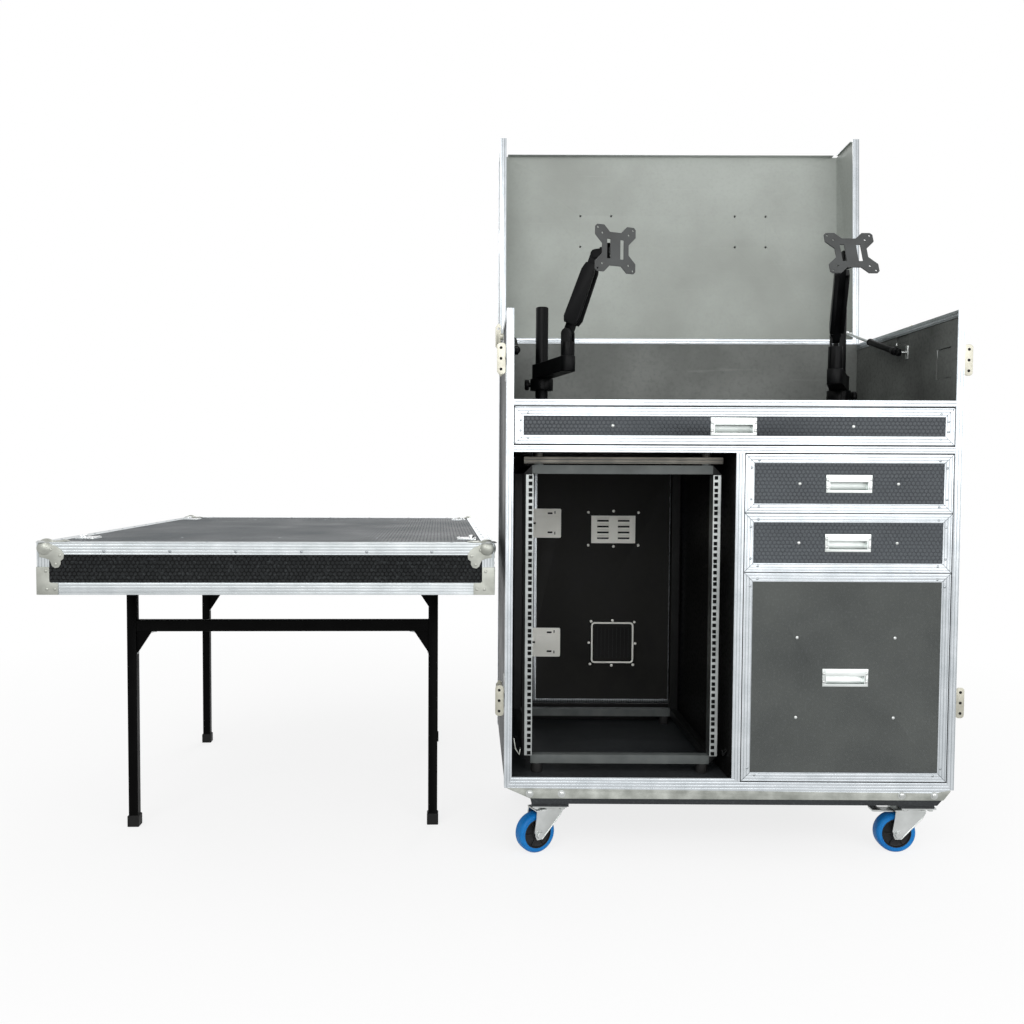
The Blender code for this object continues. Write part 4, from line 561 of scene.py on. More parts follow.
def slab(axis, outline, low, high, rim=0.0008, steps=3):
    """An outline carried along an axis with rounded rims.

    Near each end the outline is inset by rim (1 - sin t) at a depth of rim (1 - cos t), with t
    going from 0 to a right angle.
    """
    corners = np.array(outline, float)
    ahead = np.roll(corners, -1, 0) - corners
    area = np.sum(corners[:, 0] * np.roll(corners[:, 1], -1) - corners[:, 1] * np.roll(corners[:, 0], -1))
    ahead /= np.linalg.norm(ahead, axis=1)[:, None]
    outward = np.stack((ahead[:, 1], -ahead[:, 0]), -1) * (1 if area > 0 else -1)
    before = np.roll(outward, 1, 0)
    mitre = (outward + before) / (1 + np.sum(outward * before, 1))[:, None]
    turns = np.linspace(0, math.pi / 2, steps + 1)
    inset = rim * (1 - np.sin(turns))
    depth = rim * (1 - np.cos(turns))
    inset = np.concatenate((inset, inset[::-1]))
    along = np.concatenate((low + depth, high - depth[::-1]))
    rows = corners[None] - inset[:, None, None] * mitre[None]
    return loft(on_axis(axis, rows[..., 0], rows[..., 1], along[:, None]))


RACK_PAINT = paint("Dark grey powder coat of the rack", "#4c504f", "#5d6160", 0.40)
# Painted shade: the uprights are painted darker than the rest of the frame, so the rail holes in front read
# dark.
UPRIGHT_SHADE_PAINT = paint("Painted shade on the rack's uprights", "#101111", "#181919", 0.36)
RAIL_PAINT = metal("Grey zinc plated rails", "#a9adac", "#8f9392", 0.38)
BAR_METAL = metal("Brown-grey steel bar", "#6d6a63", "#56544f", 0.42, 0)
MOUNT_RUBBER = paint("Black rubber of the shock mounts", "#1c1c1c", "#262626", 0.75)
RACK_X = (0.0472, 0.5458)
RACK_Z = (0.219, 0.979)
STRAP_MIRROR = RACK_X[0] + RACK_X[1]
STRAP_Y = (0.050, 0.066)


def cross_bar(x, y, z, way):
    """True for the flat bar in front of the frame's top."""
    return z > 0.9826


def mounts(x, y, z, way):
    """True for the round mounts under and over the frame."""
    low = z < RACK_Z[0] - 0.0004
    return low | ((z > RACK_Z[1] + 0.0004) & (y > 0.0762))


def uprights(x, y, z, way):
    """True for the four uprights and the long bars, which stand outside the opening."""
    out = np.minimum(x - RACK_X[0], RACK_X[1] - x)
    return (out < 0.0225) & (z < RACK_Z[1] - 0.0005) & (z > RACK_Z[0] + 0.0005)


dressed("rack_frame", [(RACK_PAINT, None), (UPRIGHT_SHADE_PAINT, uprights), (BAR_METAL, cross_bar),
                       (MOUNT_RUBBER, mounts)], 0.0012)
for side in ("left", "right"):
    frame["nodes"][side + "_rack_rail"].data.materials[0] = RAIL_PAINT
strap = np.array([(0.024, 0.290), (0.028, 0.262), (0.040, 0.246), (0.043, 0.262), (0.0405, 0.2625),
                  (0.0385, 0.250), (0.0305, 0.264), (0.0265, 0.2905)])
mirrored = strap * (-1, 1) + (STRAP_MIRROR, 0)
made("bay_strap", [slab("Y", strap, *STRAP_Y, 0.0004)], BASE_METAL, "carcass")
# Painted shade: the right strap, a mirror of the zinc left one, is painted near black.
made("bay_strap_right", [slab("Y", mirrored, *STRAP_Y, 0.0004)], UPRIGHT_SHADE_PAINT, "carcass")

# Monitor poles: black steel tubes on bolted base plates, each with a clamp collar and its lever.


def block(left, right, front, back, low, high, rim=0.0008):
    """A box with rounded top and bottom rims."""
    outline = [(left, front), (right, front), (right, back), (left, back)]
    return slab("Z", outline, low, high, rim)


ARM_BLACK = paint("Black powder coat of the arms", "#060607", "#0b0c0d", 0.36, sheen=0.09)
POLES = (("left", 0.1115, 1.2225, -1), ("right", 0.9445, 1.1930, 1))
POLE_Y = 0.350
for side, middle_x, arm_low, way in POLES:
    dressed(side + "_monitor_pole", [(ARM_BLACK, None)], 0.0012)
    caps = []
    for a in (-0.045, 0.045):
        for b in (-0.045, 0.045):
            caps.append(turned([(0, -0.001), (0.0065, -0.001), (0.0065, 0.0030), (0.0050, 0.0045),
                                (0.0030, 0.0045), (0.0030, 0.0020), (0, 0.0020)],
                               (middle_x + a, POLE_Y + b, 1.1443), (0, 0, 1), 20))
    made(side + "_pole_bolts", caps, ZINC, "carcass")
    knob_z = arm_low - 0.0165
    knob = turned([(0, 0), (0.0135, 0), (0.0150, 0.002), (0.0150, 0.009), (0.0135, 0.011), (0, 0.012)],
                  (middle_x + way * 0.036, POLE_Y, knob_z), (way, 0, 0), 20)
    slit = block(middle_x - 0.006, middle_x + 0.006, POLE_Y - 0.0345, POLE_Y - 0.026, knob_z - 0.0145,
                 knob_z + 0.0145)
    made(side + "_collar_knob", [knob, slit], ARM_BLACK, "carcass", 0.0005)

# Gas struts: black cylinders on steel studs, chromed rods, and ball eyes at both ends.
CHROME = metal("Chromed steel", "#e9ebec", "#dcdfe0", 0.12)
STRUT_FOOT = Vector((0.0, 0.271, 1.290))
STRUT_HEAD = Vector((0.0, 0.624, 1.395))
STRUT_X = (0.037, CASE_WIDTH - 0.037)
strut_way = (STRUT_HEAD - STRUT_FOOT).normalized()
for side, middle_x in zip(("left", "right"), STRUT_X):
    dressed(side + "_strut_cylinder", [(ARM_BLACK, None)], 0.0008)
    dressed(side + "_strut_rod", [(CHROME, None)], 0.0005)
    foot = np.array(STRUT_FOOT) + (middle_x, 0, 0)
    way = np.array(strut_way)
    sleeve = turned([(0.0092, 0.018), (0.0112, 0.020), (0.0112, 0.034), (0.0092, 0.036)], foot, way, 32)
    nose = turned([(0.0046, 0.1915), (0.0100, 0.1895), (0.0102, 0.1865), (0.0091, 0.1845)], foot, way, 32,
                  True)
    made(side + "_strut_collars", [sleeve, nose], ARM_BLACK, "carcass")

# Drawers: ply trays on steel runners, fronts faced with laminate in mitred aluminium angle, each
# frame riveted at its corners, with a pressed and zinc plated recessed pull riveted in.


def rounded(middle_a, middle_b, width, height, radius, steps=5):
    """A rectangle outline with round corners: an arc of the radius about each corner's centre."""
    turns = np.linspace(0, math.pi / 2, steps + 1)
    arc = np.stack((np.cos(turns), np.sin(turns)), -1) * radius
    centre = np.array((width / 2 - radius, height / 2 - radius))
    corners = [arc + centre]
    corners.append(arc[::-1] * (-1, 1) + centre * (-1, 1))
    corners.append(-arc - centre)
    corners.append(arc[::-1] * (1, -1) + centre * (1, -1))
    return np.concatenate(corners) + (middle_a, middle_b)


TRAY_FILM = film("Film on the drawer trays", "#232424", "#181818")
HEX_FRONT = laminate("Black hexagonal laminate, upright", "#34373b", "#3f4347", (0, 2))
FINE_FRONT = laminate("Dark grey fine laminate", "#3d403f", "#4b4e4c")
PULL_ZINC = metal("Pale zinc of the pulls", "#dfe4e2", "#cdd2d0", 0.36)
RIVET_STEEL = metal("Dull steel rivets", "#a4a9ac", "#8d9295", 0.30)
# Dark mitre seams, and a painted shade line along the bottom member's inner edge.
SEAM_AND_SHADE_DARK = paint("Dark mitre seams and a painted shade line", "#4b5054", "#5a5f63", 0.60)
FRAME_WIDTH = 0.022
FRONT_FACE = 0.0011
PULL_HALF = 0.0564
PULL_RISE = 0.0222
PULL_INNER = 0.0485
SCREW_OUT = 0.120
DRAWERS = (("wide_drawer", (0.020, 1.090, 1.0290, 1.1200), (0.5535, 1.0735), HEX_FRONT),
           ("drawer_1", (0.584, 1.090, 0.8640, 1.0070), (0.837, 0.9350), HEX_FRONT),
           ("drawer_2", (0.584, 1.090, 0.7185, 0.8625), (0.837, 0.7905), HEX_FRONT),
           ("drawer_3", (0.584, 1.090, 0.2000, 0.7170), (0.837, 0.4585), FINE_FRONT))
for name, (left, right, low, high), (pull_x, pull_z), face_finish in DRAWERS:
    def tray_runner(x, y, z, way):
        """True for the steel runners on the tray's outer sides."""
        out = np.minimum(x - left, right - x)
        return (out < 0.0165) | (np.abs(way[0]) < 0.5) & (out < 0.0090)

    def frame_ends(x, y, z, way):
        """True for the two upright members of the frame."""
        out = np.minimum(x - left, right - x)
        tall = np.abs(z - (low + high) / 2) < (high - low) / 2 - 0.012
        return (out < FRAME_WIDTH + 0.0005) & tall & (y < 0.0010)

    def face_board(x, y, z, way):
        """True for the laminate between the frame's members, and the board behind."""
        return y > 0.00108

    def pull_pan(x, y, z, way):
        """True for the pressed pan of the pull."""
        near = np.abs(x - pull_x) < PULL_HALF
        near &= np.abs(z - pull_z) < PULL_RISE
        board = np.abs(y - FRONT_FACE) < 0.00004
        behind = (y > 0.0015) & (y < 0.0130) & (np.abs(way[1]) > 0.5)
        return near & ~board & ~behind

    dressed(name + "_tray", [(TRAY_FILM, None), (ZINC, tray_runner)])
    dressed(name + "_front", [(EDGE_X, None), (EDGE_Z, frame_ends), (face_finish, face_board),
                              (PULL_ZINC, pull_pan)], 0.0005)
    spots = []
    for corner_x, way_x in ((left, 1), (right, -1)):
        for corner_z, way_z in ((low, 1), (high, -1)):
            spots.append((corner_x + way_x * 0.033, 0, corner_z + way_z * 0.0150))
            spots.append((corner_x + way_x * 0.0150, 0, corner_z + way_z * 0.033))
    made(name + "_frame_rivets", [rivets(spots, (0, -1, 0), 0.0034, 0.0012)], RIVET_STEEL, name)
    seams_and_shade_line = []
    for corner_x, way_x in ((left, 1), (right, -1)):
        for corner_z, way_z in ((low, 1), (high, -1)):
            seam = np.array([(0.0012, 0.0004), (FRAME_WIDTH, FRAME_WIDTH - 0.0008),
                             (FRAME_WIDTH - 0.0008, FRAME_WIDTH), (0.0004, 0.0012)])
            seams_and_shade_line.append(slab("Y", seam * (way_x, way_z) + (corner_x, corner_z), -0.00012, 0.0004, 0.0))
    # Painted shade: a dark strip along the bottom member's inner edge stands for the shade of the step from
    # the frame to the laminate.
    seams_and_shade_line.append(slab("Y", [(left + FRAME_WIDTH, low + FRAME_WIDTH),
                            (right - FRAME_WIDTH, low + FRAME_WIDTH),
                            (right - FRAME_WIDTH, low + FRAME_WIDTH + 0.0012),
                            (left + FRAME_WIDTH, low + FRAME_WIDTH + 0.0012)], 0.0006, 0.0014, 0.0))
    made(name + "_seams", seams_and_shade_line, SEAM_AND_SHADE_DARK, name)
    pins = [(pull_x + a, 0.0002, pull_z + b) for a in (-0.0525, 0.0525) for b in (-0.010, 0.010)]
    arch = np.linspace(0, math.pi / 2, 12)
    back = np.stack((0.0035 + 0.0130 * np.sin(arch), -0.0165 + 0.0290 * (1 - np.cos(arch))), -1)
    skin = np.concatenate((back, [(0.0178, 0.0165), (0.0186, 0.0165)], back[::-1] + (0.0012, -0.0006)))
    scoop = slab("X", skin + (0, pull_z), pull_x - PULL_INNER, pull_x + PULL_INNER, 0.0)
    lip = slab("Y", rounded(pull_x, pull_z + 0.0108, 0.1000, 0.0128, 0.0022), -0.0010, 0.0006, 0.0005)
    turn_in = slab("X", np.array([(0.0000, 0.0046), (0.0075, 0.0046), (0.0075, 0.0058),
                                  (0.0000, 0.0058)]) + (0, pull_z), pull_x - PULL_INNER,
                   pull_x + PULL_INNER, 0.0002)
    ends = [block(pull_x + way * 0.0478 - 0.0012, pull_x + way * 0.0478 + 0.0012, 0.0002, 0.0180,
                  pull_z - 0.0165, pull_z + 0.0160, 0.0004) for way in (-1, 1)]
    made(name + "_pull", [scoop, lip, turn_in] + ends, PULL_ZINC, name)
    spots = [(x, FRONT_FACE, pull_z) for x in (pull_x - SCREW_OUT, pull_x + SCREW_OUT)]
    if name == "wide_drawer":
        spots = [(x, FRONT_FACE, 1.0745) for x in (0.2595, 0.845)]
    if name == "drawer_3":
        spots = [(x, FRONT_FACE, pull_z + rise) for x in (pull_x - SCREW_OUT, pull_x + SCREW_OUT)
                 for rise in (-0.099, 0.099)]
    made(name + "_screws", [rivets(spots + pins, (0, -1, 0), 0.0042, 0.0022, 14)], ZINC, name)

# Castors: pressed zinc forks turning on a double row of balls under their plates, wheels with a blue
# elastic tyre on a black core, an axle bolt with its nut, and a brake pedal on the right pair.


def tube(path, radius, steps=12):
    """A round rod along a path of points: circles across the path's own direction, end to end."""
    path = np.array(path, float)
    ahead = np.gradient(path, axis=0)
    ahead /= np.linalg.norm(ahead, axis=1)[:, None]
    side = np.cross(ahead, (0.211, 0.137, 0.968))
    side /= np.linalg.norm(side, axis=1)[:, None]
    other = np.cross(ahead, side)
    turns = (np.arange(steps) * 2 * math.pi / steps)[None, :, None]
    rows = path[:, None] + radius * (np.cos(turns) * side[:, None] + np.sin(turns) * other[:, None])
    return loft(rows)


TYRE = paint("Blue elastic rubber", "#0a63a8", "#1673b6", 0.42)
CORE = paint("Black nylon of the wheel cores", "#151617", "#1e1f20", 0.45)
WHEEL_RADIUS = 0.050
TRAIL = 0.038
CASTORS = (("front_left", CASTOR_X[0], CASTOR_Y[0], 26.0, False),
           ("front_right", CASTOR_X[1], CASTOR_Y[0], 0.0, True),
           ("rear_left", CASTOR_X[0], CASTOR_Y[1], 40.0, False),
           ("rear_right", CASTOR_X[1], CASTOR_Y[1], 20.0, True))
for name, middle_x, middle_y, yaw, braked in CASTORS:
    own = Matrix.Translation(CORNER + Vector((middle_x, middle_y, 0))) @ Matrix.Rotation(math.radians(yaw),
                                                                                         4, "Z")
    dressed(name + "_fork", [(ZINC, None)], 0.0010)
    race = turned([(0.0235, 0.1122), (0.0300, 0.1128), (0.0330, 0.1165), (0.0330, 0.1200), (0.0300, 0.1232),
                   (0.0235, 0.1236)], (0, 0, 0), (0, 0, 1), 40, True)
    king = turned([(0, 0.1085), (0.0085, 0.1085), (0.0085, 0.1040), (0.0070, 0.1025), (0, 0.1025)],
                  (0, 0, 0), (0, 0, 1), 6)
    nuts = []
    for way in (-1, 1):
        nuts.append(turned([(0, 0), (0.0125, 0), (0.0125, 0.0012), (0, 0.0012)],
                           (-TRAIL, way * 0.0240, WHEEL_RADIUS), (0, way, 0), 28))
        nuts.append(turned([(0, 0.001), (0.0092, 0.001), (0.0092, 0.0058), (0.0080, 0.0070), (0, 0.0070)],
                           (-TRAIL, way * 0.0240, WHEEL_RADIUS), (0, way, 0), 6))
    folds = []
    for way in (-1, 1):
        edge = np.array([(0.0300, 0.1070), (0.0224, 0.0925), (-0.0296, 0.0384), (-0.0458, 0.0384)])
        path = np.stack((edge[:, 0], 0 * edge[:, 0] + way * 0.0238, edge[:, 1]), -1)
        folds.append(tube(path, 0.0016, 8))
    made(name + "_race", [race, king], ZINC, name + "_swivel", 0.0004, own)
    made(name + "_axle_nuts", nuts + folds, ZINC, name + "_swivel", 0.0004, own)
    wheel_at = own @ Matrix.Translation((-TRAIL, 0, WHEEL_RADIUS))
    turns = np.linspace(-1, 1, 13)
    tread = np.stack((0.0435 + 0.0065 * np.sqrt(1 - 0.96 * turns ** 4), 0.0168 * turns), -1)
    tyre = turned(np.concatenate((tread, [(0.0362, 0.0160), (0.0362, -0.0160)])), (0, 0, 0), (0, 1, 0), 72,
                  True)
    made(name + "_tyre", [tyre], TYRE, name + "_axle", 0, wheel_at, [name + "_wheel"])
    side = [(0.0066, 0.0178), (0.0125, 0.0178), (0.0138, 0.0166), (0.0150, 0.0130), (0.0310, 0.0120),
            (0.0335, 0.0135), (0.0345, 0.0168), (0.0360, 0.0172), (0.0372, 0.0162)]
    profile = side + [(radius, -along) for radius, along in side[::-1]]
    ribs = []
    for step in range(6):
        turn = Matrix.Rotation(step * math.pi / 3, 4, "Y")
        points, faces = block(0.0130, 0.0335, -0.0150, 0.0150, -0.0014, 0.0014, 0.0004)
        ribs.append((points @ np.array(turn.to_3x3()).T, faces))
    made(name + "_core", [turned(profile, (0, 0, 0), (0, 1, 0), 64, True)] + ribs, CORE, name + "_axle",
         0.0003, wheel_at)
    if braked:
        dressed(name + "_brake_pedal", [(ZINC, None)], 0.0006)
        grip = [block(-0.100 + 0.005 * step, -0.0980 + 0.005 * step, -0.0155, 0.0155, 0.1098, 0.1106,
                      0.0002) for step in range(4)]
        made(name + "_pedal_grip", grip, CORE, name + "_brake", 0, own)

# Latches: butterfly handles of plated steel in their dishes, each on a round boss; the four for the
# cover carry a hook whose drilled end plate stands out past the wall at the front.
LATCH_STEEL = metal("Cream passivated latch steel", "#bdbbae", "#9f9d92", 0.44)
HOOK_FRONT = 0.006
PORT_RUBBER = paint("Black rubber flap", "#0e0e0e", "#161616", 0.70)
for side, face, way in (("left", 0.0, -1), ("right", CASE_WIDTH, 1)):
    for level, middle_y, middle_z in (("upper_cover", COVER_LATCH_Y, COVER_LATCH_Z[0]),
                                      ("lower_cover", COVER_LATCH_Y, COVER_LATCH_Z[1]),
                                      ("lid", LID_LATCH_Y, LID_LATCH_Z)):
        name = side + "_" + level + "_latch"
        dressed(name, [(LATCH_STEEL, None)], 0.0004)
        floor = face - way * 0.0101
        if level != "lid":
            near, far = sorted((face + way * 0.0022, face + way * 0.0037))
            arm = slab("X", rounded((HOOK_FRONT + 0.079) / 2, middle_z, 0.073, 0.030, 0.0120), near, far,
                       0.0003)
            end = rounded(face + way * 0.0126, middle_z, 0.0212, 0.0760, 0.0080)
            plate = slab("Y", end, HOOK_FRONT, HOOK_FRONT + 0.0015, 0.0004)
            made(name + "_hook", [arm, plate], LATCH_STEEL, name + "_axis")
            # Painted shade: the end plate's three drilled holes are drawn as shallow dark discs.
            hook_hole_shades = [turned([(0, 0.0002), (0.0036, 0.0002), (0.0036, -0.0004), (0, -0.0004)],
                           (face + way * 0.0136, HOOK_FRONT, middle_z + b), (0, -1, 0),
                           20) for b in (-0.026, 0.0, 0.026)]
            made(name + "_hook_holes", hook_hole_shades, PORT_RUBBER, name + "_axis")
        boss = turned([(0, 0.0002), (0.0140, 0.0002), (0.0140, 0.0022), (0.0120, 0.0034), (0.0095, 0.0040),
                       (0, 0.0040)], (floor, middle_y, middle_z), (way, 0, 0), 28)
        made(name + "_boss", [boss], ZINC, name + "_axis", 0.0003)
for level in ("upper", "lower"):
    dressed("door_" + level + "_latch", [(LATCH_STEEL, None)], 0.0005)

# Lid: a shallow ply box, film inside and laminate outside, edged like the case, standing open past
# upright on three hinges; its panel is drilled for two monitor mounts.
LID_OPEN = math.radians(93.0)
LID_AXIS = Vector((0, 0.6145, CASE_TOP))
LID_TURN = (-LID_OPEN, 0, 0)
lid_own = Matrix.Translation(CORNER + LID_AXIS) @ Matrix.Rotation(-LID_OPEN, 4, "X")
LID_BACK = -0.0045
LID_FRONT = LID_BACK - 0.634
LID_LOW = 0.0003
LID_TOP = LID_LOW + 0.156
HOLE_PATTERN_X = (0.3155, CASE_WIDTH - 0.2935)
HOLE_PATTERN_Y = -0.3945
CORNER_IN = 0.0306
LID_FILM = film("Film on the lid panel", "#a3a8a3", "#929691", turn=LID_TURN)
# Painted shade: the lid walls' film is a darker copy of the lid panel's film.
LID_WALL_SHADE_FILM = film("Film on the lid walls", "#5d605e", "#343635", turn=LID_TURN)
LID_SKIN = laminate("Black hexagonal laminate of the lid top", "#26282a", "#303335", (0, 1), LID_TURN)
LID_EDGE_X = metal("Anodised aluminium, ribbed across the lid", *ANODISED, 0, LID_TURN)
LID_EDGE_Y = metal("Anodised aluminium, ribbed down the lid", *ANODISED, 1, LID_TURN)
LID_EDGE_Z = metal("Anodised aluminium, ribbed through the lid", *ANODISED, 2, LID_TURN)


def out_of_lid(x, y, z):
    """The distances in from the lid's outer planes: its nearer side, its front and rear, its top."""
    across = np.minimum(x, CASE_WIDTH - x)
    along = np.minimum(y - LID_FRONT, LID_BACK - y)
    return across, along, LID_TOP - z


def lid_inside(x, y, z, way):
    """True for the film of the panel's inner face and its holes."""
    across, along, deep = out_of_lid(x, y, z)
    return (across > 0.0131) & (deep > 0.0020) & (y < LID_BACK - 0.0130)


def lid_walls(x, y, z, way):
    """True for the film on the inner faces of the side and rear walls."""
    across, along, deep = out_of_lid(x, y, z)
    return (deep > 0.0137) & (across > 0.0130) & (np.abs(way[2]) < 0.5)


def lid_top_face(x, y, z, way):
    """True for the laminate outside the panel."""
    across, along, deep = out_of_lid(x, y, z)
    return (way[2] > 0.5) & (np.abs(deep - 0.0011) < 0.0002)


def lid_trim(x, y, z, way):
    """True for the angles that cover the edges: their faces lie on the outer planes or one sheet in."""
    across, along, deep = out_of_lid(x, y, z)
    low = z - LID_LOW
    outer = np.min((across, along, deep, low), 0)
    return (outer < 0.0006) | ((outer < 0.0009) & (low > 0.0006))


def lid_trim_across(x, y, z, way):
    """True for the trim whose length runs across the lid."""
    across, along, deep = out_of_lid(x, y, z)
    return lid_trim(x, y, z, way) & (across > 0.0198) & (along < CORNER_IN)


def lid_trim_through(x, y, z, way):
    """True for the corner trim whose length runs through the lid's depth."""
    across, along, deep = out_of_lid(x, y, z)
    low = z - LID_LOW
    tall = (deep > 0.0295) & (low > 0.0195)
    return lid_trim(x, y, z, way) & (along < CORNER_IN) & (across < 0.0203) & tall


def lid_fittings(x, y, z, way):
    """True for hinge leaves, catches and strut brackets, which stand off the outer and inner faces."""
    across, along, deep = out_of_lid(x, y, z)
    inner = (across > 0.0139) & (across < 0.0360) & (z < 0.0205) & (along > 0.0200)
    return (along < -0.0002) | (across < -0.0002) | inner


dressed("lid", [(BLACK_LAMINATE, None), (LID_WALL_SHADE_FILM, lid_walls), (LID_FILM, lid_inside),
                (LID_SKIN, lid_top_face), (LID_EDGE_Y, lid_trim), (LID_EDGE_X, lid_trim_across),
                (LID_EDGE_Z, lid_trim_through), (ZINC, lid_fittings)], 0.0007, lid_own)
RIVET_IN = 0.016
down_lid = np.arange(LID_FRONT + 0.045, LID_BACK - 0.03, RIVET_STEP)
spots = [(x, y, LID_TOP) for x in (RIVET_IN, CASE_WIDTH - RIVET_IN) for y in down_lid]
spots += [(x, y, LID_TOP) for x in np.arange(0.100, 1.04, RIVET_STEP)
          for y in (LID_FRONT + RIVET_IN, LID_BACK - RIVET_IN)]
made("lid_top_rivets", [rivets(spots, (0, 0, 1), *EDGE_RIVETS)], ZINC, "lid_hinge", 0, lid_own)
for side, face, way in (("left", 0, -1), ("right", CASE_WIDTH, 1)):
    spots = [(face, y, z) for y in down_lid for z in (0.012, LID_TOP - RIVET_IN)]
    made("lid_" + side + "_rivets", [rivets(spots, (way, 0, 0), *EDGE_RIVETS)], ZINC, "lid_hinge", 0,
         lid_own)
spots = [(middle_x + a, LID_BACK + SHEET, b) for middle_x in LEAF_X for a in (-LEAF_HALF, 0, LEAF_HALF)
         for b in (0.018, 0.038)]
made("lid_leaf_rivets", [rivets(spots, (0, 1, 0), *LEAF_RIVETS)], ZINC, "lid_hinge", 0, lid_own)
# Painted shade: dark plugs sunk in the monitor mount holes stand for the shade inside them.
hole_shade_plugs = []
for middle_x in HOLE_PATTERN_X:
    for a in (-0.050, 0.050):
        for b in (-0.050, 0.050):
            spot = (middle_x + a, HOLE_PATTERN_Y + b, LID_TOP - 0.0100)
            hole_shade_plugs.append(turned([(0, 0), (0.0024, 0), (0.0024, 0.0060), (0, 0.0060)], spot, (0, 0, 1),
                                  16))
made("lid_hole_shade_plugs", hole_shade_plugs, PORT_RUBBER, "lid_hinge", 0, lid_own)
corners = []
for corner_x, way_x in ((0, 1), (CASE_WIDTH, -1)):
    for corner_y, way_y in ((LID_FRONT, 1), (LID_BACK, -1)):
        dome = [(0, 0.0038), (0.0075, 0.0035), (0.0135, 0.0024), (0.0180, 0.0006), (0.0185, -0.0012),
                (0, -0.0012)]
        corners.append(turned(dome, (corner_x + way_x * 0.019, corner_y + way_y * 0.019, LID_TOP),
                              (0, 0, 1), 32))
made("lid_corners", corners, ZINC, "lid_hinge", 0, lid_own)

# Rear door: black faced ply in an aluminium angle frame, with two latch dishes whose backs show
# in the bay, a louvred vent plate and a cable port with a slit rubber flap, all riveted in.
DOOR_FACE = paint("Black film of the door", "#131312", "#1c1c1a", 0.55, sheen=0.12)
PLATE_WHITE = paint("Pale painted plate", "#f6f6ef", "#ecece4", 0.45)
DOOR = (0.105, 0.541, 0.245, 0.975)
VENT = (0.2867, 0.4224, 0.744, 0.829)
PORT = (0.2846, 0.4285, 0.369, 0.500)
DOOR_LATCH_X = 0.148
DOOR_LATCH_Z = (0.805, 0.435)
DOOR_FRONT = 0.5962
DOOR_RIVETS = (0.0028, 0.0009)
FLAP_IN = 0.0118
SCREEN_IN = 0.0125
SLIT_STEP = 0.012


def near_area(x, z, area, margin=0.0005):
    """True for faces whose middle lies in an area given as left, right, low and high."""
    wide = (x > area[0] - margin) & (x < area[1] + margin)
    return wide & (z > area[2] - margin) & (z < area[3] + margin)


def door_outside(x, y, z, way):
    """True for the laminate outside the door."""
    return (way[1] > 0.5) & (y > CASE_DEPTH - 0.0016) & (y < CASE_DEPTH - 0.0008)


def door_frame(x, y, z, way):
    """True for both rings of aluminium round the door's edge."""
    inner = np.minimum(x - DOOR[0], DOOR[1] - x)
    inner = np.minimum(inner, np.minimum(z - DOOR[2], DOOR[3] - z))
    outer = np.abs(y - CASE_DEPTH) < 0.0004
    rim = (y < DOOR_FRONT - 0.0002) & (inner < 0.0145)
    return outer | rim | (inner < 0.0008)


def door_dishes(x, y, z, way):
    """True for the two latch dishes and the hinge leaves."""
    dish = np.zeros(len(x), bool)
    for middle_z in DOOR_LATCH_Z:
        area = (DOOR_LATCH_X - 0.043, DOOR_LATCH_X + 0.043, middle_z - 0.0455, middle_z + 0.0455)
        dish |= near_area(x, z, area)
    face = np.abs(y - (CASE_DEPTH - 0.0011)) < 0.00006
    back = np.abs(y - DOOR_FRONT) < 0.00006
    leaf = (y > CASE_DEPTH + 0.0002) | (x > DOOR[1] + 0.0002)
    return (dish & ~face & ~back) | leaf


def vent_plate(x, y, z, way):
    """True for the vent plate, which stands in front of the inner face."""
    return near_area(x, z, VENT) & (y < DOOR_FRONT + 0.0006)


def door_flap(x, y, z, way):
    """True for the rubber flap behind the port's frame."""
    area = (PORT[0] + FLAP_IN, PORT[1] - FLAP_IN, PORT[2] + FLAP_IN, PORT[3] - FLAP_IN)
    return near_area(x, z, area) & (y > DOOR_FRONT - 0.0003) & (y < CASE_DEPTH - 0.003)


dressed("rear_door", [(DOOR_FACE, None), (BLACK_LAMINATE, door_outside), (EDGE_Z, door_frame),
                      (ZINC, door_dishes), (PLATE_WHITE, vent_plate), (PORT_RUBBER, door_flap)], 0.0004)
louvres = []
for column in (0.036, 0.100):
    for row in range(4):
        middle_x = VENT[0] + column
        middle_z = VENT[2] + 0.0155 + row * 0.018
        bow = np.linspace(0, math.pi / 2, 6)
        hood = np.stack((DOOR_FRONT - 0.0012 - 0.0050 * np.cos(bow),
                         middle_z + 0.0030 + 0.0060 * np.sin(bow)), -1)
        hood = np.concatenate((hood, hood[::-1] + (0.0009, -0.0004)))
        louvres.append(slab("X", hood, middle_x - 0.0185, middle_x + 0.0185, 0.0))
made("vent_louvres", louvres, PLATE_WHITE, "rear_door_hinge")
screen = block(VENT[0] + SCREEN_IN, VENT[1] - SCREEN_IN, DOOR_FRONT + 0.0060, DOOR_FRONT + 0.0075,
               VENT[2] + SCREEN_IN, VENT[3] - SCREEN_IN)
made("vent_screen", [screen], PORT_RUBBER, "rear_door_hinge")
edge = [(0.2775, 0.8392), (0.3554, 0.8433), (0.4322, 0.8392), (0.2775, 0.7378), (0.3554, 0.7337),
        (0.4322, 0.7378), (0.2886, 0.5005), (0.3552, 0.5036), (0.4228, 0.4985), (0.2825, 0.4340),
        (0.4259, 0.4320), (0.2866, 0.3673), (0.3532, 0.3632), (0.4198, 0.3653)]
edge = [(a, DOOR_FRONT - 0.0002, b) for a, b in edge]
made("door_inner_rivets", [rivets(edge, (0, -1, 0), 0.0044, 0.0022, 14)], PLATE_WHITE, "rear_door_hinge")
bead = rounded(0.3546, 0.4345, 0.1266, 0.1226, 0.0090)
bead = np.concatenate((bead, bead[:2]))
path = np.stack((bead[:, 0], 0 * bead[:, 0] + DOOR_FRONT - 0.0016, bead[:, 1]), -1)
made("port_bead", [tube(path, 0.0028, 10)], PLATE_WHITE, "rear_door_hinge")
backs = []
latch_slot_shades = []
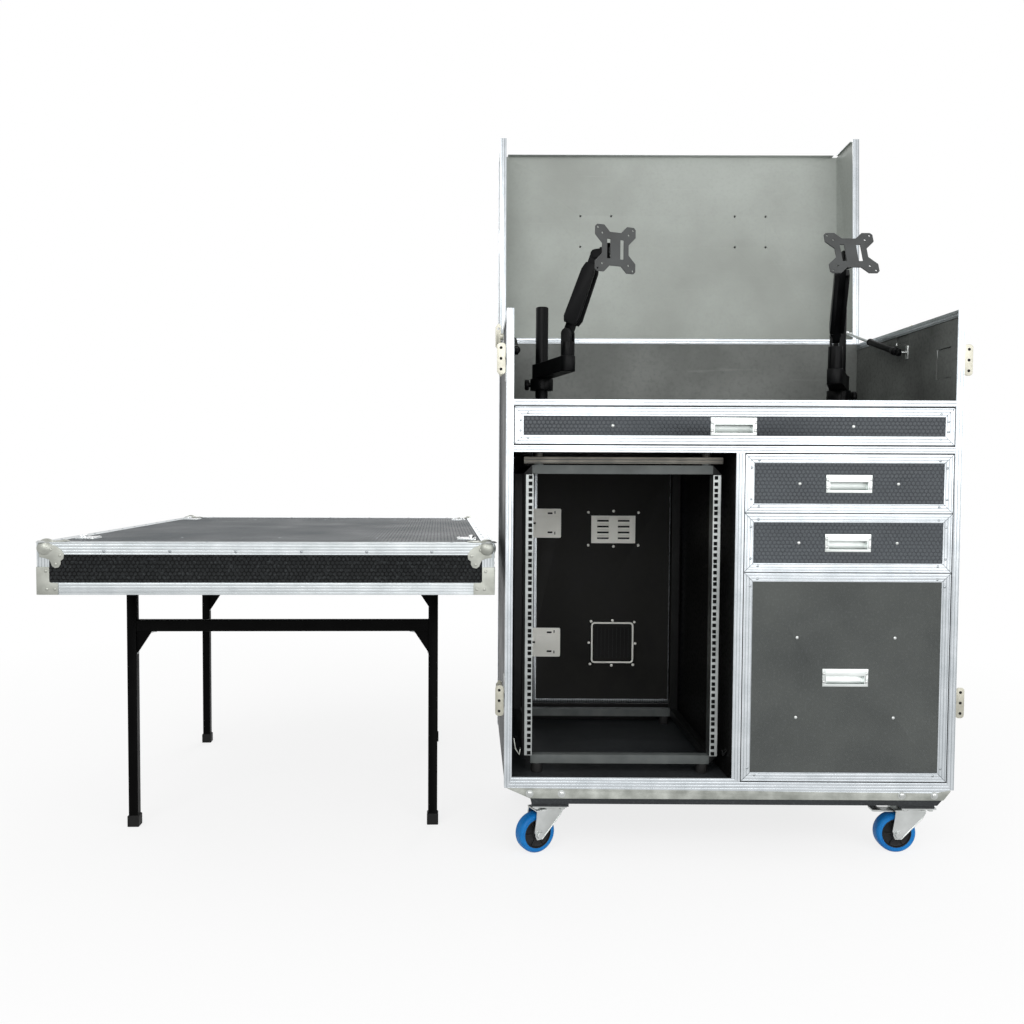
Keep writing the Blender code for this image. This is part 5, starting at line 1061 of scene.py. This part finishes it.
for middle_z in DOOR_LATCH_Z:
    backs.append(slab("Y", rounded(DOOR_LATCH_X - 0.0030, middle_z, 0.0960, 0.0900, 0.0040),
                      DOOR_FRONT - 0.0020, DOOR_FRONT - 0.0002, 0.0005))
    backs.append(slab("Y", rounded(DOOR_LATCH_X + 0.0020, middle_z, 0.0700, 0.0440, 0.0030),
                      DOOR_FRONT - 0.0030, DOOR_FRONT - 0.0012, 0.0008))
    # Painted shade: the back plates' slots are drawn as thin dark slabs.
    for a, b, wide, tall in ((0.0110, 0.0310, 0.0150, 0.0052), (0.0110, -0.0280, 0.0150, 0.0052),
                             (-0.0360, 0.0, 0.0120, 0.0060), (0.0260, 0.0335, 0.0030, 0.0090),
                             (0.0260, -0.0305, 0.0030, 0.0090)):
        latch_slot_shades.append(slab("Y", rounded(DOOR_LATCH_X + a, middle_z + b, wide, tall, 0.0014),
                          DOOR_FRONT - 0.0024, DOOR_FRONT - 0.0016, 0.0))
made("latch_backs", backs, PLATE_WHITE, "rear_door_hinge", 0.0004)
made("latch_back_slot_shades", latch_slot_shades, PORT_RUBBER, "rear_door_hinge")
slit_x = (PORT[0] + PORT[1]) / 2
slits = [block(slit_x + step * SLIT_STEP - 0.0004, slit_x + step * SLIT_STEP + 0.0004, DOOR_FRONT - 0.0008,
               DOOR_FRONT + 0.0004, PORT[2] + 0.0185, PORT[3] - 0.0185, 0.0001) for step in range(-4, 5)]
made("port_slits", slits, CORE, "rear_door_hinge")
up_door = np.arange(DOOR[2] + 0.030, DOOR[3], RIVET_STEP)
across_door = np.arange(DOOR[0] + 0.080, DOOR[1] - 0.05, RIVET_STEP)
outside = [(x, CASE_DEPTH, z) for x in (DOOR[0] + 0.011, DOOR[1] - 0.011) for z in up_door]
outside += [(x, CASE_DEPTH, z) for x in across_door for z in (DOOR[2] + 0.011, DOOR[3] - 0.011)]
outside += [(DOOR_LATCH_X + a, CASE_DEPTH + 0.0001, z + b) for z in DOOR_LATCH_Z for a in (-0.039, 0.039)
            for b in (-0.0415, 0, 0.0415)]
outside += [(DOOR[1] - 0.007, CASE_DEPTH + SHEET, z + b) for z in (0.330, 0.610, 0.890)
            for b in (-LEAF_HALF, 0, LEAF_HALF)]
made("door_outer_rivets", [rivets(outside, (0, 1, 0), *DOOR_RIVETS)], ZINC, "rear_door_hinge")

# Monitor arms: cast aluminium arms in black powder coat, with steel pivot bolts and plastic caps,
# carrying pressed steel plates drilled for both common monitor patterns.
PLATE_PAINT = paint("Dark grey powder coat of the monitor plates", "#3e3f3f", "#484a4a", 0.42)
for side in ("left", "right"):
    for part in ("lower_arm", "elbow", "upper_arm", "head", "pan_block"):
        dressed(side + "_" + part, [(ARM_BLACK, None)], 0.0016 if part != "head" else 0.0006)
    dressed(side + "_monitor_plate", [(PLATE_PAINT, None)], 0.0007)

# Front cover as a table: a shallow ply tray faced with hexagonal laminate, edged with ribbed angle,
# with ball corners, corner plates and four latch catches, standing on two folding leg frames.
TABLE_YAW = math.radians(2.0)
TABLE_TURN = (0, 0, TABLE_YAW)
TABLE_LENGTH = 1.338
TABLE_TOP = 0.786
TABLE_DEEP = 0.128
table_own = Matrix.Translation(CORNER + Vector((-1.1365, -0.030, 0))) @ Matrix.Rotation(TABLE_YAW, 4, "Z")
# The table top's cells get a strong painted highlight, a share of 0.42.
TOP_LAMINATE = laminate("Black hexagonal laminate, level", "#1d2125", "#282c30", (1, 0), TABLE_TURN, 0.0105,
                        0.04, 0.42)
DEEP_BLACK = ("#0b0b0b", "#121212")
FRONT_LAMINATE = laminate("Black hexagonal laminate of the cover's ends", *DEEP_BLACK, (0, 2), TABLE_TURN,
                          sheen=0.03, cells=0.05)
SIDE_LAMINATE = laminate("Black hexagonal laminate of the cover's sides", *DEEP_BLACK, (1, 2), TABLE_TURN,
                         sheen=0.03, cells=0.05)
CORNER_STEEL = metal("Zinc plated corner steel", "#b2b4ad", "#93958e", 0.46)
COVER_FILM = film("Film inside the cover", "#3c3e3c", "#2a2b2a")
COVER_ANODISED = ("#d0d5d7", "#bcc2c4", 0.32)
COVER_X = metal("Anodised aluminium, ribbed across the cover", *COVER_ANODISED, 0, TABLE_TURN)
COVER_Y = metal("Anodised aluminium, ribbed along the cover", *COVER_ANODISED, 1, TABLE_TURN)
COVER_Z = metal("Anodised aluminium, ribbed up the cover", *COVER_ANODISED, 2, TABLE_TURN)


def out_of_cover(x, y, z):
    """The distances in from the cover's nearer side, its nearer end, its top and its rim."""
    across = np.minimum(x, CASE_WIDTH - x)
    along = np.minimum(y, TABLE_LENGTH - y)
    return across, along, TABLE_TOP - z, z - (TABLE_TOP - TABLE_DEEP)


def cover_top_face(x, y, z, way):
    """True for the laminate of the table top."""
    return (way[2] > 0.5) & (np.abs(out_of_cover(x, y, z)[2] - 0.0011) < 0.0003)


def cover_ends(x, y, z, way):
    """True for the laminate on both ends."""
    return (np.abs(way[1]) > 0.5) & (np.abs(out_of_cover(x, y, z)[1] - 0.0011) < 0.0003)


def cover_sides(x, y, z, way):
    """True for the laminate on both long sides."""
    return (np.abs(way[0]) > 0.5) & (np.abs(out_of_cover(x, y, z)[0] - 0.0011) < 0.0003)


def cover_trim(x, y, z, way):
    """True for the angles, which lie on the outer planes."""
    return np.min(out_of_cover(x, y, z), 0) < 0.0006


def cover_trim_across(x, y, z, way):
    """True for the angles along both ends."""
    across, along, deep, low = out_of_cover(x, y, z)
    return cover_trim(x, y, z, way) & (across > 0.0305) & (along < 0.0306)


def cover_trim_up(x, y, z, way):
    """True for the corner posts."""
    across, along, deep, low = out_of_cover(x, y, z)
    tall = (deep > 0.0303) & (low > 0.0303)
    return cover_trim(x, y, z, way) & (across < 0.0305) & (along < 0.0305) & tall


def cover_fittings(x, y, z, way):
    """True for corner bosses, catches on top, and the leg brackets below."""
    across, along, deep, low = out_of_cover(x, y, z)
    bracket = (deep > 0.0140) & (across > 0.060) & (along > 0.100) & (np.abs(way[2]) < 0.999)
    return (deep < -0.0001) | bracket


dressed("table_cover", [(COVER_FILM, None), (TOP_LAMINATE, cover_top_face), (FRONT_LAMINATE, cover_ends),
                        (SIDE_LAMINATE, cover_sides), (COVER_Y, cover_trim), (COVER_X, cover_trim_across),
                        (COVER_Z, cover_trim_up), (ZINC, cover_fittings)], 0.0008, table_own)
RIVET_DOWN = 0.022
EDGE_MIDDLE = 0.019
SIDE_RIVETS = (0.0040, 0.0018)
spots = []
for end_y in (EDGE_MIDDLE, TABLE_LENGTH - EDGE_MIDDLE):
    spots += [(x, end_y, TABLE_TOP) for x in np.arange(0.105, 1.05, 0.150)]
for side_x in (EDGE_MIDDLE, CASE_WIDTH - EDGE_MIDDLE):
    spots += [(side_x, y, TABLE_TOP) for y in np.arange(0.105, 1.26, 0.112)]
spots += [(x, y, TABLE_TOP - 0.0010) for x in (0.300, 0.555, 0.810) for y in (0.180, 1.150)]
top_parts = [rivets(spots, (0, 0, 1), 0.0036, 0.0016)]
for end_y, way in ((0, -1), (TABLE_LENGTH, 1)):
    spots = [(x, end_y, TABLE_TOP - RIVET_DOWN) for x in np.arange(0.161, 1.00, 0.159)]
    top_parts.append(rivets(spots, (0, way, 0), *SIDE_RIVETS))
for side_x, way in ((0, -1), (CASE_WIDTH, 1)):
    spots = [(side_x, y, TABLE_TOP - RIVET_DOWN) for y in np.arange(0.135, 1.25, 0.168)]
    top_parts.append(rivets(spots, (way, 0, 0), *SIDE_RIVETS))
made("cover_rivets", top_parts, RIVET_STEEL, "cover_lift", 0, table_own)
balls = []
plates = []
LOBED = np.array([(0.010, 0.004), (0.034, 0.004), (0.050, 0.011), (0.060, 0.019), (0.066, 0.029),
                  (0.065, 0.040), (0.058, 0.045), (0.058, 0.053), (0.053, 0.061), (0.044, 0.063),
                  (0.037, 0.058), (0.034, 0.050), (0.030, 0.042), (0.018, 0.038), (0.006, 0.036)])
LOBE_HEADS = ((0.056, 0.032), (0.046, 0.053), (0.034, 0.018))
BALL = 0.0230
BALL_AT = (0.0185, 0.0140, 0.0145)
PLATE_OUT = 0.0018
PLATE_RIVETS = (0.0042, 0.0018, 14)
low = TABLE_TOP - TABLE_DEEP
ANGLE_PLATE = np.array([(0.0005, low + 0.0005), (0.0510, low + 0.0005), (0.0510, low + 0.0285),
                        (0.0330, low + 0.0300), (0.0300, low + 0.0330), (0.0300, low + 0.0680),
                        (0.0005, low + 0.0680)])
ANGLE_HEADS = ((0.043, low + 0.014), (0.024, low + 0.014), (0.0216, low + 0.058))
for corner_x, way_x in ((0, 1), (CASE_WIDTH, -1)):
    for corner_y, way_y in ((0, 1), (TABLE_LENGTH, -1)):
        turns = np.linspace(0, math.pi, 22)
        ball = np.stack((BALL * np.sin(turns), -BALL * np.cos(turns)), -1)
        ball[[0, -1], 0] = 0
        balls.append(turned(ball, (corner_x + way_x * BALL_AT[0], corner_y + way_y * BALL_AT[1],
                                   TABLE_TOP - BALL_AT[2]), (0, 0, 1), 40))
        ends = sorted((corner_y + way_y * 0.0003, corner_y - way_y * PLATE_OUT))
        flanks = sorted((corner_x + way_x * 0.0003, corner_x - way_x * PLATE_OUT))
        level = np.array((0, TABLE_TOP))
        plates.append(slab("Y", LOBED * (way_x, -1) + level + (corner_x, 0), *ends, 0.0007))
        plates.append(slab("X", LOBED * (way_y, -1) + level + (corner_y, 0), *flanks, 0.0007))
        plates.append(slab("Z", LOBED * (way_x, way_y) + (corner_x, corner_y), TABLE_TOP - 0.0003,
                           TABLE_TOP + PLATE_OUT, 0.0007))
        plates.append(slab("Y", ANGLE_PLATE * (way_x, 1) + (corner_x, 0), *ends, 0.0005))
        plates.append(slab("X", ANGLE_PLATE * (way_y, 1) + (corner_y, 0), *flanks, 0.0005))
        heads = [(a, TABLE_TOP - b) for a, b in LOBE_HEADS] + list(ANGLE_HEADS)
        front = [(corner_x + way_x * a, corner_y - way_y * 0.0017, b) for a, b in heads]
        plates.append(rivets(front, (0, -way_y, 0), *PLATE_RIVETS))
        flank = [(corner_x - way_x * 0.0017, corner_y + way_y * a, b) for a, b in heads]
        plates.append(rivets(flank, (-way_x, 0, 0), *PLATE_RIVETS))
        top = [(corner_x + way_x * a, corner_y + way_y * b, TABLE_TOP + 0.0017) for a, b in LOBE_HEADS]
        plates.append(rivets(top, (0, 0, 1), *PLATE_RIVETS))
made("cover_ball_corners", balls, CORNER_STEEL, "cover_lift", 0, table_own)
made("cover_corner_plates", plates, CORNER_STEEL, "cover_lift", 0, table_own)
catches = []
for side_x, way in ((0, 1), (CASE_WIDTH, -1)):
    for middle_y in (0.160, TABLE_LENGTH - 0.160):
        top = TABLE_TOP + 0.0019
        middle_x = side_x + way * 0.064
        catches.append(slab("Z", rounded(middle_x, middle_y, 0.0500, 0.0640, 0.0080), top - 0.0006,
                            top + 0.0008, 0.0004))
        catches.append(slab("Z", rounded(middle_x - way * 0.012, middle_y, 0.0120, 0.0400, 0.0055), top,
                            top + 0.0070, 0.0022))
        spots = [(middle_x + a, middle_y + b, top + 0.0006) for a in (-0.018, 0.018)
                 for b in (-0.025, 0.025)]
        catches.append(rivets(spots, (0, 0, 1), 0.0036, 0.0018))
made("cover_catches", catches, CHROME, "cover_lift", 0.0003, table_own)

# Table legs: two frames of square steel tube in black powder coat with plastic boots, each with a
# cross tube, a welded gusset and a locking stay at either leg.
LEG_PAINT = paint("Black powder coat of the legs", "#050505", "#090909", 0.40, sheen=0.03)
BOOT = paint("Black moulded plastic boots", "#101010", "#171717", 0.60)
LEG_X = (0.1515, 0.9585)
STAY_WIRE = metal("Bright stay wire", "#b9bcbb", "#8f9291", 0.34)


def boots(x, y, z, way):
    """True for the plastic boots at the feet."""
    return z < 0.0305


for name, pivot_y, pivot_z in (("front", 0.235, 0.750), ("rear", 1.020, 0.700)):
    dressed(name + "_legs", [(LEG_PAINT, None), (BOOT, boots)], 0.0018, table_own)
    pins = []
    for leg_x in LEG_X:
        for way in (-1, 1):
            pins.append(turned([(0, -0.002), (0.0085, -0.002), (0.0085, 0.0028), (0.0065, 0.0042),
                                (0, 0.0044)], (leg_x + way * 0.0152, pivot_y, pivot_z), (way, 0, 0), 20))
    made(name + "_leg_pins", pins, ZINC, "cover_lift", 0.0003, table_own)
    gussets = []
    for leg_x, way in ((LEG_X[0], 1), (LEG_X[1], -1)):
        turns = np.linspace(0, math.pi / 2, 16)
        path = np.stack((leg_x + way * (0.0115 + 0.052 * (1 - np.cos(turns))), pivot_y + 0 * turns,
                         0.5305 - 0.062 * (1 - np.sin(turns))), -1)
        gussets.append(tube(path, 0.0035, 12))
    made(name + "_leg_stays", gussets, STAY_WIRE, name + "_legs_fold", 0, table_own)

# Studio: a plain pale floor that runs to a white horizon, four large soft lamps, and a pale sky that
# metal reflects.
FLOOR_HALF = 14.0
floor_finish, tree, shader, place = start_material("Matt pale floor", 0.9)
shader.inputs["Base Color"].default_value = linear("#f4f4f4")
seen = node(tree, "LightPath")
reach = node(tree, "VectorMath", links={0: place}, operation="LENGTH").outputs["Value"]
fade = node(tree, "MapRange", {"From Min": 0.9, "From Max": 3.2, "To Min": 0.80, "To Max": 1.0},
            {"Value": reach}).outputs[0]
glow = node(tree, "Emission", {"Color": (1, 1, 1, 1), "Strength": 1.0})
share = maths(tree, "MULTIPLY", maths(tree, "MAXIMUM", seen.outputs["Is Camera Ray"],
                                      seen.outputs["Is Glossy Ray"]), fade)
blended = node(tree, "MixShader", links={0: share, 1: shader.outputs[0], 2: glow.outputs[0]})
tree.links.new(blended.outputs[0], tree.nodes["Material Output"].inputs["Surface"])
floor_mesh = bpy.data.meshes.new("floor")
floor_mesh.from_pydata([(-FLOOR_HALF, -FLOOR_HALF, 0), (FLOOR_HALF, -FLOOR_HALF, 0),
                        (FLOOR_HALF, FLOOR_HALF, 0), (-FLOOR_HALF, FLOOR_HALF, 0)], [], [(0, 1, 2, 3)])
floor_mesh.materials.append(floor_finish)
floor = bpy.data.objects.new("floor", floor_mesh)
bpy.context.scene.collection.objects.link(floor)

SKY_LIGHT = 0.62
world = bpy.data.worlds.new("Pale sky")
world.use_nodes = True
tree = world.node_tree
background = tree.nodes["Background"]
background.inputs["Color"].default_value = (1, 1, 1, 1)
seen = node(tree, "LightPath")
white = maths(tree, "MAXIMUM", seen.outputs["Is Glossy Ray"], seen.outputs["Is Transmission Ray"])
white = maths(tree, "MAXIMUM", seen.outputs["Is Camera Ray"], white)
tree.links.new(spread(tree, white, SKY_LIGHT, 1.0), background.inputs["Strength"])
bpy.context.scene.world = world


def lamp(name, place, target, size, power):
    """Add a square soft lamp that looks from its place to its target."""
    data = bpy.data.lights.new(name, "AREA")
    data.shape = "SQUARE"
    data.size = size
    data.energy = power
    item = bpy.data.objects.new(name, data)
    item.location = place
    item.rotation_euler = (Vector(target) - Vector(place)).to_track_quat("-Z", "Y").to_euler()
    bpy.context.scene.collection.objects.link(item)


lamp("Key lamp", (-1.6, -4.2, 3.2), (0.1, 0, 0.9), 2.4, 70)
lamp("Fill lamp", (2.8, -3.4, 1.8), (0.1, 0, 0.8), 2.4, 36)
lamp("Front lamp", (0.75, -3.6, 1.7), (0.35, 0.6, 0.55), 1.8, 28)
lamp("Back lamp", (0.5, 4.2, 3.4), (0, 0, 0.9), 2.4, 60)

CAMERA_AT = Vector((-0.084, -2.253, 0.953))
PITCH = math.radians(2.3)
YAW = math.radians(0.22)
ROLL = math.radians(0.24)
camera_data = bpy.data.cameras.new("Camera")
camera_data.sensor_width = 36.0
camera_data.lens = 922.4 / 1024 * 36.0
camera_data.shift_x = (512 - 467.9) / 1024
camera = bpy.data.objects.new("Camera", camera_data)
aim = Matrix.Rotation(YAW, 4, "Z") @ Matrix.Rotation(math.pi / 2 - PITCH, 4, "X") @ Matrix.Rotation(ROLL, 4,
                                                                                                    "Z")
camera.matrix_world = Matrix.Translation(CORNER + CAMERA_AT) @ aim
bpy.context.scene.collection.objects.link(camera)
bpy.context.scene.camera = camera
bpy.context.scene.view_settings.view_transform = "Standard"
